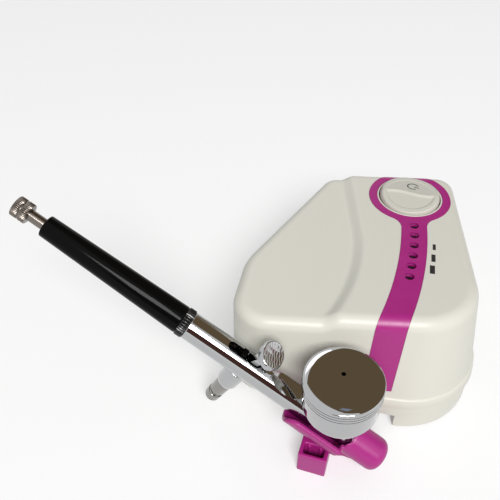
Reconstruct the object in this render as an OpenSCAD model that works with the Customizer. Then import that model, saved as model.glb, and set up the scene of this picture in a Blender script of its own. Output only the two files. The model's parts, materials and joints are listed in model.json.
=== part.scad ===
// Small airbrush compressor with a dual-action airbrush resting in its holder.
// Millimetres, +Z up, table at z = 0, controls facing the front (-Y).

/* [Casing] */
// Height of the raised half of the cover above the table
cover_top = 63; // [59:0.5:70]
// Step down from the raised half to the lower panel
panel_step = 3; // [1.5:0.5:5]
// Width of the soft slope between the two levels
slope_w = 6.5; // [3:0.5:10]
// Height of the joint between base tray and cover
seam_z = 16; // [14:0.5:20]
// Height of the band round the foot of the cover
band_h = 5; // [3:0.5:7]
// How far the band stands proud of the cover
band_proud = 0.8; // [0.4:0.1:1.2]
// Wall of cover and tray
wall = 2.4; // [1.8:0.1:3]
// Rounding of the cover's upper edge
shoulder_r = 5; // [3.5:0.5:7]
// Reach of the casing to the left of its reference point
case_left = 57.5; // [54:0.5:60]
// Reach of the casing to the right
case_right = 55.5; // [52:0.5:58]
// Reach of the casing to the front
case_front = 56; // [55:0.5:60]
// Reach of the casing to the rear
case_rear = 57; // [56:0.5:62]
// How far the rubber feet stand below the tray
foot_h = 1.2; // [0.8:0.1:2]
// Diameter of a rubber foot
foot_d = 10; // [6:0.5:12]

/* [Trim and controls] */
// Width of the coloured stripe
strip_w = 11.8; // [9:0.2:14]
// Radius of the stripe's sweep
strip_arc_r = 205; // [180:5:260]
// Outer diameter of the coloured ring
ring_d = 39.6; // [37:0.2:42]
// Radius of the fillets between ring and stripe
strip_fillet = 7; // [4:0.5:9]
// Thickness of the trim sunk into the cover
strip_depth = 1; // [0.6:0.1:1.3]
// How far the trim stands proud
strip_proud = 0.25; // [0.1:0.05:0.5]
// Height at which the stripe ends on the front face
strip_end_z = 25; // [22:0.5:35]
// Diameter of the rocker button
button_d = 29; // [26:0.2:30]
// Turn of the rocker's crest from the casing's width
button_turn = -10.5; // [-20:0.5:20]
// Rounding of the rocker's upper edge
button_round = 2.4; // [1:0.1:3]
// Height of the rocker's crest above the cover
button_rise = 3.2; // [2:0.1:4.5]
// Number of indicator lenses
led_count = 6; // [3:1:7]
// Spacing of the lenses along the stripe
led_pitch = 7; // [6:0.1:7.6]
// Diameter of an indicator lens
led_d = 4; // [3:0.1:5]

/* [Pump] */
// Height of the motor shaft above the table
shaft_z = 26; // [25:0.5:29]
// Diameter of the motor can
motor_d = 27.6; // [24:0.2:30]
// Length of the motor can
motor_l = 32; // [26:1:36]
// Diameter of the motor shaft
shaft_d = 3; // [2:0.1:4]
// Throw of the crank pin
crank_throw = 2; // [1:0.1:2.4]
// Width of the crankcase
crankcase_w = 32; // [31:0.5:34]
// Length of the crankcase
crankcase_l = 25; // [24:0.5:27]
// Height of the crankcase above and below the shaft
crankcase_h = 14; // [13:0.5:15]
// Thread diameter of the air outlet
outlet_d = 9.7; // [8:0.1:11]
// Length of the outlet thread behind its nut
outlet_l = 9; // [6:0.5:14]

/* [Airbrush] */
// Angle that the nose points down in the holder
nose_drop = 27.5; // [22:0.5:32]
// Heading of the nose, from +X towards -Y
heading = 23; // [18:0.5:28]
// Roll of the airbrush towards the front
roll = 3; // [0:0.5:5]
// Diameter of the body tube
tube_d = 12; // [11:0.1:12.4]
// Place of the cup along the body, from the handle ring
cup_x = 75; // [73:0.5:77]
// Place of the trigger and valve along the body
trigger_x = 28; // [26:0.5:30]
// Outer diameter of the paint cup
cup_d = 30.6; // [28:0.2:32]
// Height of the cup's rim above the body's axis
cup_rim = 33; // [29:0.5:35]
// Length of the handle
handle_l = 67; // [62:1:80]
// Diameter of the handle at the tail
handle_tail_d = 9.6; // [8.6:0.1:11]
// Diameter of the tail knob
knob_d = 9; // [8:0.1:11]
// Length of the tail knob
knob_l = 6.7; // [5:0.1:9]
// Height of the trigger's finger plate above the axis
trigger_h = 18.5; // [16:0.5:20]
// Lean of the trigger towards the nose at rest
trigger_lean = 16; // [8:1:18]
// Distance from the axis to the tip of the hose nipple
nipple_reach = 38; // [36:0.5:42]
// Diameter of the hose nipple
nipple_d = 7.2; // [6.4:0.1:8]

/* [Holder] */
// Side of the square socket beside the cradle
socket_w = 12.4; // [11:0.2:14]
// Height of the square socket
socket_h = 12; // [9:0.5:13]
// Thickness of the holder's walls
holder_wall = 1.8; // [1.4:0.1:2.4]
// Width of the arm that plugs into the base
arm_w = 12; // [9:0.5:13]
// Width of the notch in the base tray
notch_w = 27.5; // [26:0.5:30]
// Height of the notch in the base tray
notch_h = 9; // [8:0.5:10]

/* [Hidden] */

$fn = 64;
// Overlap that joins or cuts cleanly
eps = 0.01;
// Clearance between pieces that are fixed to each other
fit = 0.1;
// Radial clearance of a running fit
run_fit = 0.05;
// Room round a screw or fitting in its hole
hole_gap = 0.25;
// Gap between pieces that move past each other
clear = 0.4;
// Small edge break of moulded and turned pieces
edge = 0.6;

// Casing outline: corner circles as centre x, centre y, radius at the seam, draft up to the top, and how far
// the base draws in towards the floor. It draws in only at the front left, behind the airbrush.
// The rear wall slants forwards to the right, and the left side runs in towards the rear.
front_left_r = 16;
front_left_y = 46;
front_right_r = 34;
front_right_in = 1;
rear_right_r = 11;
rear_left_r = 9;
rear_left_x = 14;
rear_slant = 2;
side_r = 30;
side_at = [-case_left + 32.5, -case_front + 39];
corners = [
    [-case_left + front_left_r, -front_left_y + front_left_r, front_left_r, 0.5, 11],
    [case_right - front_right_in - front_right_r, -case_front + front_right_r, front_right_r, 7, 0],
    [case_right - rear_right_r, case_rear - rear_slant - rear_right_r, rear_right_r, 2.5, 0],
    [-rear_left_x + rear_left_r, case_rear - rear_left_r, rear_left_r, 1, 0],
    [side_at.x, side_at.y, side_r, 1.2, 13]
];
draft_h = cover_top - seam_z;
base_straight = 2;
base_h = seam_z - base_straight - foot_h;
function corner_r(c, z) = c[2] - c[3] * max(z - seam_z, 0) / draft_h
    - c[4] * max(seam_z - base_straight - z, 0) / base_h;

// Crease between the panels: straight at the rear, sweeping left towards the front
crease_x = 0;
crease_y = 12;
crease_r = 95;

// Dial, stripe and lenses
dial = [case_right - 26.7, case_rear - 22.5];
strip_centre = [dial.x + 0.7 - strip_arc_r, dial.y + 10.5];
lip_w = 0.8;
well_gap = 0.5;
well_r = button_d / 2 + well_gap;
well_wall = 1.5;
led_start_y = dial.y - ring_d / 2 - 2.7;
led_hole_r = led_d / 2 + 0.15;
led_dome = 0.7;
led_sunk = 1.4;
led_start_angle = asin((led_start_y - strip_centre.y) / strip_arc_r);
led_step = led_pitch / strip_arc_r * 180 / PI;
function led_at(i) = strip_centre + strip_arc_r * [cos(led_start_angle - i * led_step),
                                                   sin(led_start_angle - i * led_step)];

// Tray, bosses and feet
floor_z = foot_h;
floor_top = foot_h + wall;
lip_h = 2.5;
lip_t = 1.2;
lip_inset = wall + 0.7;
lip_root = 2;
boss_r = 4.5;
post_r = 3.5;
screw_r = 1.45;
screw_head_r = 2.9;
screw_head_z = 4.5;
screw_seat_z = 7;
screw_l = 20;
screw_slot_w = 0.8;
screw_slot_l = 4;
post_hole_l = 16;
boss_at = [
    [corners[0].x + 1, corners[0].y + 2],
    [corners[1].x + 6, corners[1].y - 20],
    [corners[2].x + 1.6, corners[2].y + 1.6],
    [corners[3].x, corners[3].y - 0.5]
];
foot_at = [
    [corners[0].x + 8.5, corners[0].y + 12],
    [corners[1].x + 20, corners[1].y - 6],
    [corners[2].x, corners[2].y - 14],
    [corners[3].x - 7, corners[3].y - 12]
];
foot_recess = 1;
notch_right = 14.5;
notch_x = notch_right - notch_w;
notch_depth = 12;
notch_back = -case_front + notch_depth;

// Control board under the stripe and the dial
board_top = cover_top - 12.4;
board_t = 1.6;
board_x = [dial.x - 16.8, dial.x + 10.7];
board_y = [dial.y - 62.5, dial.y + 11.5];
board_post_r = 2.8;
board_post_at = [dial + [-13.8, -46.5], dial + [7.2, -56.5], dial + [8.2, -22.5]];
board_screw_r = 1;
board_screw_l = 7.5;
board_head_r = 2;
board_head_h = 1.4;
switch_w = 6;
switch_h = 3.5;
switch_stem = 1.5;
switch_stem_r = 1.7;
press_r = 8;
press_gap = 0.6;
button_fall = 1.8;
pin_r = 1;
pin_z = cover_top - 4;
pin_l = 2 * well_r + 2.4;
well_z = pin_z - 5;

// Pump unit, its shaft running front to back
pump_x = -8;
motor_y = -8;
crankcase_x = pump_x - crankcase_w / 2;
crankcase_y = motor_y - crankcase_l;
crankcase_z = shaft_z - crankcase_h;
crankcase_top = shaft_z + crankcase_h;
crank_wall = 4;
cavity_w = 18;
pump_screw_inset = 2;
pump_screw_r = 1.25;
pump_screw_grip = 8;
pump_head_r = 2;
pump_head_h = 1.6;
diaphragm_t = 1.5;
valve_plate_t = 2.5;
head_h = 8;
plate_z = crankcase_top + diaphragm_t;
head_z = plate_z + valve_plate_t;
air_z = head_z + head_h / 2;
air_x = 5;
air_bore_r = 1.2;
port_x = 4;
chest = [16, 8, 4];
barb_r = 2.2;
barb_l = 6;
tube_wall = 1;
can_t = 1;
cap_t = 4;
tab_w = 2.4;
tab_l = 6;
tab_t = 0.6;
tab_z = 4.3;
magnet_gap = 6;
rotor_r = motor_d / 2 - 4.3;
weight_r = 8;
weight_t = 4;
crank_pin_r = 1.5;
bearing_r = 3;
big_end_t = 4;
big_end_gap = 0.5;
big_end_y = crankcase_y + (crankcase_l + big_end_t) / 2;
weight_y = big_end_y + big_end_gap + weight_t;
big_end_wall = 2;
rod_w = 4;
rod_foot_r = 5.5;
rod_foot_t = 2;
bracket_z = floor_top + 3.4;
bracket_t = 2.5;
bracket_w = 28;
saddle_w = 24;
saddle_t = 4;
mount_r = 4;
mount_x = 9;
lead_r = 0.7;
lead_gap = 6;
lead_drop = 6;
outlet_drop = 12;
outlet_z = air_z - outlet_drop;
rear_wall_y = corners[3].y + corner_r(corners[3], outlet_z);
outlet_flange_y = rear_wall_y + 0.35;
outlet_nut_h = 4.5;
outlet_end_y = outlet_flange_y + outlet_nut_h + outlet_l;
inner_end_y = rear_wall_y - wall - 4;
outlet_nut_r = 7;
inner_nut_r = 5.5;
inner_nut_h = 3;
filter_r = 3.5;
filter_l = 5;
jack_x = 24;
jack_w = 9;
jack_h = 10.5;
jack_l = 12;
jack_z = floor_top + 5.4;
jack_nose_r = 4;
jack_bore_r = 2.8;
jack_pin_r = 1;
jack_share = (jack_x - corners[3].x) / (corners[2].x - corners[3].x);
jack_wall_y = corners[3].y + corners[3][2] - rear_slant * jack_share;
jack_face_y = jack_wall_y - 2 * wall;

// Airbrush frame: x towards the nose from the handle ring, z towards the trigger
grip_at = [-case_left - 17.6, -front_left_y + 2.2, 57];
function turn_x(p, a) = [p.x, p.y * cos(a) - p.z * sin(a), p.y * sin(a) + p.z * cos(a)];
function turn_y(p, a) = [p.x * cos(a) + p.z * sin(a), p.y, p.z * cos(a) - p.x * sin(a)];
function turn_z(p, a) = [p.x * cos(a) - p.y * sin(a), p.x * sin(a) + p.y * cos(a), p.z];
function aim(p) = turn_z(turn_y(turn_x(p, roll), nose_drop), -heading);
function in_case(p) = grip_at + aim(p);
function cup_up(h) = [-h * sin(nose_drop), 0, h * cos(nose_drop)];
tube_r = tube_d / 2;
chamber_r = 4.2;
chamber_x = 42;
passage_r = 1;
slot_back = trigger_x - 10.5;
slot_front = trigger_x + 5.8;
slot_w = 4.4;
head_x = cup_x - 11;
head_end = head_x + 20;
head_tip_r = 4.9;
nose_end = head_end + 11;
scoop_r = 20;
scoop_x = trigger_x + 19;
scoop_depth = 1.7;
ring_l = 3.4;
ring_r = tube_r + 0.35;
ring_teeth = 40;
ring_tooth = 0.35;
handle_front_r = tube_r + 0.1;
handle_end = ring_l + handle_l;
neck_r = 2.5;
neck_l = 7.5;
knob_x = handle_end + neck_l;
knob_end = knob_x + knob_l;
knob_teeth = 26;
knob_tooth = 0.4;
neck_in = 8;
handle_bore_r = 3.2;
needle_r = 0.6;
needle_tail = -58;
needle_tube_r = 1.7;
needle_tip_r = 0.08;
needle_taper = 10;
spring_wire_r = 0.3;
needle_spring_r = 2.4;
needle_spring_pitch = 1.5;
needle_spring_turns = 8;
spring_stop = -8;
stop_t = 1.5;
tube_tail = 5;
chuck_r = 2.7;
chuck_neck = 3;
chuck_l = 4;
nozzle_r = 2.4;
nozzle_l = 3;
nozzle_tip_r = 1;
tip_inset = 2;
cap_x = nose_end - 4.5;
cap_bore_r = 1.8;
lever_t = 2.2;
lever_w = 3.4;
lever_h = 7.4;
lever_bush_r = 2.6;
case_r = 4;
case_bore_r = 3;
case_l = 28;
case_in = 6;
case_end_t = 1.5;
valve_r = 4.8;
valve_end = 20;
valve_bore_r = 3;
valve_seat = tube_r - 1.4;
piston_r = 1.1;
piston_top = 3.2;
piston_head_t = 2.2;
valve_screw_t = 2;
valve_spring_r = 2.2;
valve_spring_pitch = 1.2;
valve_spring_turns = 5;
valve_spring_z = valve_end - valve_screw_t - 2 * spring_wire_r;
nipple_bore_r = 1.5;
nipple_groove = 0.9;
nipple_groove_at = 7.8;
nipple_groove_w = 1.4;
nipple_round = 2.1;
pivot_z = -1.5;
fork_gap = 2;
fork_w = 3.6;
plate_l = 13.2;
plate_w = 11;
plate_t = 3.2;
plate_dome_r = 12.2;
plate_dish_r = 18;
plate_ridges = 3;
plate_ridge_pitch = 1.4;
fork_foot_r = 1.5;
plate_dish = 0.8;
neck_h = 4;
cup_r = cup_d / 2;
cup_wall = 1;
stem_r = 4.2;
cup_floor = 13.5;
cup_fillet = 6;
cup_seat = 6.5;
cup_seat_depth = 2.5;
cup_drain_r = 1.2;
cup_cone = 3;
lid_wall = 0.6;
lid_skirt = 6;
lid_top = 1.6;
lid_dome = 0.7;
lid_groove = 0.25;
lid_groove_pitch = 1.1;
vent_r = 0.9;
vent_at = [-0.8, 1.9];

// Holder frame: the airbrush's heading without its drop, x along the nose in plan
socket_x = cup_x - 21;
socket_y = -12.2;
socket_l = 8.4;
socket_turn = 5;
socket_rib_t = 1;
sleeve_r = 7.3;
sleeve_bore_r = 5.6;
sleeve_start = head_end - 5;
sleeve_end = nose_end + 2.5;
cradle_r = 10.4;
cradle_bore_r = 8.4;
cradle_start = cup_x - 21;
cradle_end = head_end - 4;
cradle_lip = 1.5;
lobe_r = 6;
sleeve_round = 3.5;
open_h = 30;
rib_y = [1.5, 6.5];
rib_l = socket_w + 18;
function rib_top(x) = grip_at.z - x * tan(nose_drop);
arm_h = 6;
arm_gap = 0.3;
arm_left = notch_x + arm_gap;
arm_bite = 1.5;
rib_mid = (rib_y[0] + rib_y[1]) / 2 / cos(heading);
arm_front = grip_at.y - (arm_left + arm_w / 2 - grip_at.x) * tan(heading) + rib_mid - arm_bite;

// Offset that centres the whole object's footprint on the origin
nose_dir = aim([1, 0, 0]);
lid_dir = aim(cup_up(1));
lid_r = cup_r + lid_wall;
left_end = in_case([-knob_end, 0, 0]).x - knob_d / 2 * sqrt(1 - pow(nose_dir.x, 2));
front_end = in_case([cup_x, 0, 0] + cup_up(cup_rim + lid_top)).y - lid_r * sqrt(1 - pow(lid_dir.y, 2));
right_end = case_right + band_proud;
place = [-(left_end + right_end) / 2, -(front_end + outlet_end_y) / 2, 0];

module placed() { translate(place) children(); }
module in_airbrush() { translate(grip_at) rotate([0, nose_drop, -heading]) rotate([roll, 0, 0]) children(); }
module in_cup() { in_airbrush() translate([cup_x, 0, 0]) rotate([0, -nose_drop, 0]) children(); }
module in_valve() { in_airbrush() translate([trigger_x, 0, 0]) children(); }
module in_trigger() { in_valve() translate([0, 0, pivot_z]) rotate([0, trigger_lean, 0]) children(); }
module in_holder() { translate([grip_at.x, grip_at.y, 0]) rotate([0, 0, -heading]) children(); }
module in_socket() { translate([socket_x, socket_y, 0]) rotate([0, 0, socket_turn]) children(); }

// Turned piece along x from points of radius and station
module turned_x(points) { rotate([0, 90, 0]) rotate_extrude() polygon(points); }
module rod_x(r, x0, x1) { translate([x0, 0, 0]) rotate([0, 90, 0]) cylinder(r = r, h = x1 - x0); }
module rod_y(r, y0, y1) { translate([0, y1, 0]) rotate([90, 0, 0]) cylinder(r = r, h = y1 - y0); }
module rod_between(a, b, r) {
    d = b - a;
    translate(a) rotate([0, acos(d.z / norm(d)), atan2(d.y, d.x)]) cylinder(r = r, h = norm(d), $fn = 16);
}

// Round bar with straight knurls along x
module knurled_x(r, x0, x1, teeth, depth) {
    step = 180 / teeth;
    translate([x0, 0, 0]) rotate([0, 90, 0]) linear_extrude(x1 - x0)
        polygon([for (i = [0 : 2 * teeth - 1]) (r - depth * (i % 2)) * [cos(step * i), sin(step * i)]]);
}

// Open coil along z: one unbroken tube of six-sided rings
coil_sides = 6;
coil_steps = 8;
function coil_point(r, pitch, i, j, w) =
    let (a = 360 * i / coil_steps, b = 360 * j / coil_sides)
    [(r + w * cos(b)) * cos(a), (r + w * cos(b)) * sin(a), pitch * i / coil_steps + w * sin(b)];
module coil(r, w, pitch, turns) {
    n = turns * coil_steps;
    points = [for (i = [0 : n], j = [0 : coil_sides - 1]) coil_point(r, pitch, i, j, w)];
    sides = [for (i = [0 : n - 1], j = [0 : coil_sides - 1], t = [0, 1])
        let (a = i * coil_sides + j, b = i * coil_sides + (j + 1) % coil_sides)
        t == 0 ? [a, b, b + coil_sides] : [a, b + coil_sides, a + coil_sides]];
    first = [for (j = [1 : coil_sides - 2]) [0, j + 1, j]];
    end = n * coil_sides;
    last = [for (j = [1 : coil_sides - 2]) [end, end + j, end + j + 1]];
    echo(coil_gap = pitch - 2 * w);
    polyhedron(points, concat(sides, first, last));
}

// Casing form: stacked rings of the drafted outline, one point for each direction round it
outline_steps = 72;
function outline_point(t, z, inset) =
    let (u = [cos(t), sin(t)],
         reach = [for (c = corners) c.x * u.x + c.y * u.y + corner_r(c, z)],
         c = corners[search(max(reach), reach)[0]])
    [c.x + (corner_r(c, z) - inset) * u.x, c.y + (corner_r(c, z) - inset) * u.y, z];
module ring_stack(levels) {
    n = outline_steps;
    last = len(levels) - 1;
    points = [for (l = levels, i = [0 : n - 1]) outline_point(360 * i / n, l[0], l[1])];
    sides = [for (k = [0 : last - 1], i = [0 : n - 1], t = [0, 1])
        let (a = k * n + i, b = k * n + (i + 1) % n)
        t == 0 ? [a, a + n, b + n] : [a, b + n, b]];
    bottom = [for (i = [0 : n - 1]) i];
    top = [for (i = [n - 1 : -1 : 0]) last * n + i];
    polyhedron(points, concat(sides, [bottom, top]));
}
module outline(inset) {
    n = outline_steps;
    polygon([for (i = [0 : n - 1]) let (p = outline_point(360 * i / n, seam_z, inset)) [p.x, p.y]]);
}
share_z = cover_top - panel_step - shoulder_r;
function shoulder(inset, top) =
    let (r = max(shoulder_r - inset, edge))
    [for (a = [0 : 18 : 90]) [top - inset - r + r * sin(a), inset + r * (1 - cos(a))]];
module panel_side(shift) {
    hull() {
        translate([crease_x - crease_r + shift, crease_y]) circle(r = crease_r, $fn = 120);
        translate([crease_x - 2 * crease_r + shift, crease_y]) square([2 * crease_r, case_rear]);
    }
}
// Room over the lower panel, with the soft slope as its side
module panel_cut(inset) {
    low = share_z - 1 - inset;
    high = cover_top + 1;
    run = slope_w / panel_step;
    middle = cover_top - panel_step / 2 - inset;
    hull() {
        translate([0, 0, low]) linear_extrude(eps) panel_side((low - middle) * run);
        translate([0, 0, high]) linear_extrude(eps) panel_side((high - middle) * run);
    }
}
module shell_form(inset) {
    foot_z = seam_z - (inset > 0 ? 1 : 0);
    ring_stack(concat([[foot_z, inset]], shoulder(inset, cover_top - panel_step)));
    difference() {
        ring_stack(concat([[share_z, inset]], shoulder(inset, cover_top)));
        panel_cut(inset);
    }
}

// Where circles of radius ra about a and rb about b cross, left (1) or right (-1) of the way from a to b
function cross_point(a, ra, b, rb, side) =
    let (d = norm(b - a), u = (b - a) / d, along = (ra * ra - rb * rb + d * d) / (2 * d))
    a + along * u + side * sqrt(ra * ra - along * along) * [-u.y, u.x];
function toward(a, b, r) = a + r * (b - a) / norm(b - a);
// Fillet between the ring and one edge of the stripe: hand is -1 on the left edge and 1 on the right one
module front_fillet(hand, grow) {
    f = strip_fillet - grow;
    ring = ring_d / 2 + grow;
    edge_r = strip_arc_r + hand * (strip_w / 2 + grow);
    inside = edge_r - hand * lip_w;
    centre = cross_point(dial, ring + f, strip_centre, edge_r + hand * f, 1);
    difference() {
        polygon([toward(dial, centre, ring), cross_point(dial, ring, strip_centre, inside, 1),
                 toward(strip_centre, centre, inside), toward(strip_centre, centre, edge_r)]);
        translate(centre) circle(r = f);
    }
}
// The same between the ring and one edge of the short stripe at the rear
module rear_fillet(hand, grow) {
    f = strip_fillet - grow;
    ring = ring_d / 2 + grow;
    half = strip_w / 2 + grow;
    rise = sqrt(pow(ring + f, 2) - pow(half + f, 2));
    centre = dial + [hand * (half + f), rise];
    difference() {
        polygon([
            toward(dial, centre, ring), dial + [0, ring / 2], dial + [0, rise], dial + [hand * half, rise]]);
        translate(centre) circle(r = f);
    }
}

// Plan of the trim: ring, swept stripe to the front, short stripe to the rear
module strip_plan(grow) {
    translate(dial) circle(r = ring_d / 2 + grow);
    for (hand = [-1, 1]) {
        front_fillet(hand, grow);
        rear_fillet(hand, grow);
    }
    intersection() {
        translate(strip_centre) difference() {
            circle(r = strip_arc_r + strip_w / 2 + grow, $fn = 360);
            circle(r = strip_arc_r - strip_w / 2 - grow, $fn = 360);
        }
        translate([-case_left, -2 * case_front]) square([2 * case_left, 2 * case_front + dial.y]);
    }
    translate([dial.x - strip_w / 2 - grow, dial.y]) square([strip_w + 2 * grow, case_rear]);
}
module strip_column(grow) {
    translate([0, 0, strip_end_z - grow]) linear_extrude(2 * cover_top) strip_plan(grow);
}
module in_dial(z) { translate([dial.x, dial.y, z]) rotate([0, 0, button_turn]) children(); }
module dial_hole(r) { translate([dial.x, dial.y, 0]) cylinder(r = r, h = 2 * cover_top); }
module led_holes() {
    for (i = [0 : led_count - 1]) translate([led_at(i).x, led_at(i).y, seam_z + band_h])
        cylinder(r = led_hole_r, h = cover_top, $fn = 32);
}

module top_cover() {
    color("ivory") difference() {
        union() {
            difference() {
                union() {
                    shell_form(0);
                    ring_stack([[seam_z, -band_proud], [seam_z + band_h - edge, -band_proud],
                                [seam_z + band_h, wall / 4]]);
                }
                shell_form(wall);
            }
            intersection() {
                union() {
                    for (p = boss_at) translate([p.x, p.y, seam_z])
                        cylinder(r = post_r, h = cover_top, $fn = 32);
                    for (p = board_post_at) translate([p.x, p.y, board_top])
                        cylinder(r = board_post_r, h = cover_top, $fn = 32);
                    translate([dial.x, dial.y, well_z]) cylinder(r = well_r + well_wall, h = cover_top);
                }
                shell_form(wall / 2);
            }
            translate([dial.x, dial.y, cover_top - wall])
                cylinder(r = well_r + lip_w, h = wall + strip_proud);
        }
        difference() {
            strip_column(fit / 2);
            shell_form(strip_depth + fit / 2);
            dial_hole(well_r + lip_w);
        }
        translate([0, 0, well_z - 1]) dial_hole(well_r);
        led_holes();
        in_dial(pin_z)
            rod_x(pin_r + hole_gap, -well_r - 2 * well_wall, well_r + 2 * well_wall, $fn = 32);
        for (p = boss_at) translate([p.x, p.y, seam_z - 1])
            cylinder(r = screw_r + fit, h = post_hole_l, $fn = 32);
        for (p = board_post_at) translate([p.x, p.y, board_top - 1])
            cylinder(r = board_screw_r + fit, h = board_screw_l, $fn = 32);
        translate([air_x, 0, outlet_z]) rod_y(outlet_d / 2 + hole_gap, corners[3].y, outlet_end_y, $fn = 48);
    }
}

module accent_strip() {
    color("mediumvioletred") difference() {
        intersection() {
            shell_form(-strip_proud);
            strip_column(-fit / 2);
        }
        shell_form(strip_depth);
        dial_hole(well_r + lip_w + fit);
        led_holes();
    }
}

module base_tray() {
    color("ivory") difference() {
        union() {
            difference() {
                ring_stack([[floor_z, 0], [seam_z - base_straight, 0], [seam_z, 0]]);
                ring_stack([[floor_top, wall], [seam_z - base_straight, wall], [seam_z + 1, wall]]);
            }
            translate([0, 0, seam_z - lip_root]) linear_extrude(lip_h + lip_root) difference() {
                outline(lip_inset);
                outline(lip_inset + lip_t);
            }
            translate([0, 0, seam_z - lip_root]) linear_extrude(lip_root - fit) difference() {
                outline(wall / 2);
                outline(lip_inset + lip_t);
            }
            for (p = boss_at) translate([p.x, p.y, floor_z]) cylinder(r = boss_r, h = seam_z - floor_z);
            intersection() {
                translate([notch_x - wall, notch_back - notch_depth, floor_z])
                    cube([notch_w + 2 * wall, wall + notch_depth, notch_h + wall - floor_z]);
                ring_stack([[floor_z - 1, wall / 2], [seam_z - base_straight, wall / 2], [seam_z, wall / 2]]);
            }
        }
        translate([notch_x, notch_back - 2 * notch_depth, -1])
            cube([notch_w, 2 * notch_depth, notch_h + 1]);
        for (p = boss_at) translate([p.x, p.y, 0]) {
            cylinder(r = screw_r + hole_gap, h = 2 * seam_z);
            cylinder(r = screw_head_r + hole_gap, h = screw_seat_z);
        }
        for (p = boss_at) translate([p.x, p.y, seam_z]) cylinder(r = post_r + clear, h = seam_z);
        for (p = foot_at) translate([p.x, p.y, 0])
            cylinder(r = foot_d / 2 + fit, h = floor_z + foot_recess);
        translate([jack_x, 0, jack_z]) rod_y(jack_nose_r + hole_gap, jack_face_y, case_rear + 1);
    }
}

module rubber_feet() {
    color("dimgray") for (p = foot_at) translate([p.x, p.y, 0]) {
        cylinder(r1 = foot_d / 2 - edge, r2 = foot_d / 2, h = edge);
        translate([0, 0, edge]) cylinder(r = foot_d / 2, h = floor_z + foot_recess - edge);
    }
}

module cover_screws() {
    color("silver") for (p = boss_at) translate([p.x, p.y, 0]) difference() {
        union() {
            translate([0, 0, screw_head_z]) cylinder(r = screw_head_r, h = screw_seat_z - screw_head_z);
            translate([0, 0, screw_head_z]) cylinder(r = screw_r, h = screw_l);
        }
        for (a = [0, 90]) rotate([0, 0, a])
            translate([-screw_slot_w / 2, -screw_slot_l / 2, screw_head_z - 1])
                cube([screw_slot_w, screw_slot_l, 2]);
    }
}

module control_board() {
    color("darkgreen") difference() {
        translate([board_x[0], board_y[0], board_top - board_t])
            cube([board_x[1] - board_x[0], board_y[1] - board_y[0], board_t]);
        for (p = board_post_at) translate([p.x, p.y, 0])
            cylinder(r = board_screw_r + hole_gap, h = cover_top);
    }
}

module board_screws() {
    color("silver") for (p = board_post_at) translate([p.x, p.y, board_top - board_t - board_head_h]) {
        cylinder(r = board_head_r, h = board_head_h);
        cylinder(r = board_screw_r, h = board_screw_l);
    }
}

module tact_switches() {
    color("dimgray") in_dial(board_top) for (s = [-1, 1]) translate([0, s * press_r, 0]) {
        translate([-switch_w / 2, -switch_w / 2, 0]) cube([switch_w, switch_w, switch_h]);
        cylinder(r = switch_stem_r, h = switch_h + switch_stem);
    }
}

module status_leds() {
    r = led_d / 2;
    h = cover_top - board_top - led_sunk;
    dome_r = (r * r + led_dome * led_dome) / (2 * led_dome);
    color("dimgray") for (i = [0 : led_count - 1]) translate([led_at(i).x, led_at(i).y, board_top]) {
        cylinder(r = r, h = h);
        translate([0, 0, h]) intersection() {
            translate([0, 0, led_dome - dome_r]) sphere(r = dome_r);
            translate([0, 0, -eps]) cylinder(r = r, h = led_d);
        }
    }
}

module rocker_pin() {
    color("silver") in_dial(pin_z) rod_x(pin_r, -pin_l / 2, pin_l / 2);
}

// Rocker: round button with a rounded edge, two faces falling from the crest, a foot over each switch
module rocker_button() {
    r = button_d / 2;
    crest = cover_top + button_rise;
    turn = [r - button_round, cover_top + strip_proud];
    fall = atan(button_fall / r);
    foot = pin_z - 2 * pin_r;
    switch_top = board_top + switch_h + switch_stem;
    color("ivory") in_dial(0) difference() {
        union() {
            rotate_extrude() polygon(concat(
                [[0, foot], [r, foot]],
                [for (t = [0 : 15 : 90]) turn + [button_round * cos(t), (crest - turn.y) * sin(t)]],
                [[0, crest]]));
            for (s = [-1, 1]) translate([0, s * press_r, switch_top + press_gap])
                cylinder(r = switch_stem_r, h = foot - switch_top);
        }
        for (s = [-1, 1]) translate([0, 0, crest]) rotate([-s * fall, 0, 0])
            translate([-button_d, s > 0 ? 0 : -button_d, 0]) cube([2 * button_d, button_d, button_d]);
        translate([0, 0, pin_z]) rod_x(pin_r + run_fit, -button_d, button_d);
    }
}

module dc_jack() {
    color("dimgray") translate([jack_x, 0, 0]) difference() {
        union() {
            translate([-jack_w / 2, jack_face_y - jack_l, floor_top]) cube([jack_w, jack_l, jack_h]);
            translate([0, 0, jack_z]) rod_y(jack_nose_r, jack_face_y - 1, jack_wall_y - clear);
        }
        translate([0, 0, jack_z]) difference() {
            rod_y(jack_bore_r, jack_face_y - jack_l / 2, jack_wall_y + 1);
            rod_y(jack_pin_r, jack_face_y - jack_l, jack_wall_y - 1);
        }
    }
}

module outlet_fitting() {
    r = outlet_d / 2;
    color("silver") translate([air_x, 0, outlet_z]) difference() {
        union() {
            rod_y(r, inner_end_y, outlet_end_y - edge);
            rod_y(r - edge, inner_end_y, outlet_end_y);
            rod_y(outlet_nut_r, outlet_flange_y, outlet_flange_y + outlet_nut_h, $fn = 6);
            rod_y(inner_nut_r, inner_end_y, inner_end_y + inner_nut_h, $fn = 6);
            rod_y(barb_r, inner_end_y - barb_l, inner_end_y + eps);
        }
        rod_y(air_bore_r, inner_end_y - barb_l - 1, outlet_end_y + 1);
    }
}

module motor_can() {
    color("silver") translate([pump_x, 0, shaft_z]) difference() {
        rod_y(motor_d / 2, motor_y, motor_y + motor_l);
        rod_y(motor_d / 2 - can_t, motor_y + can_t, motor_y + motor_l + 1);
        rod_y(shaft_d / 2 + run_fit, motor_y - 1, motor_y + 2);
    }
}

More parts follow.
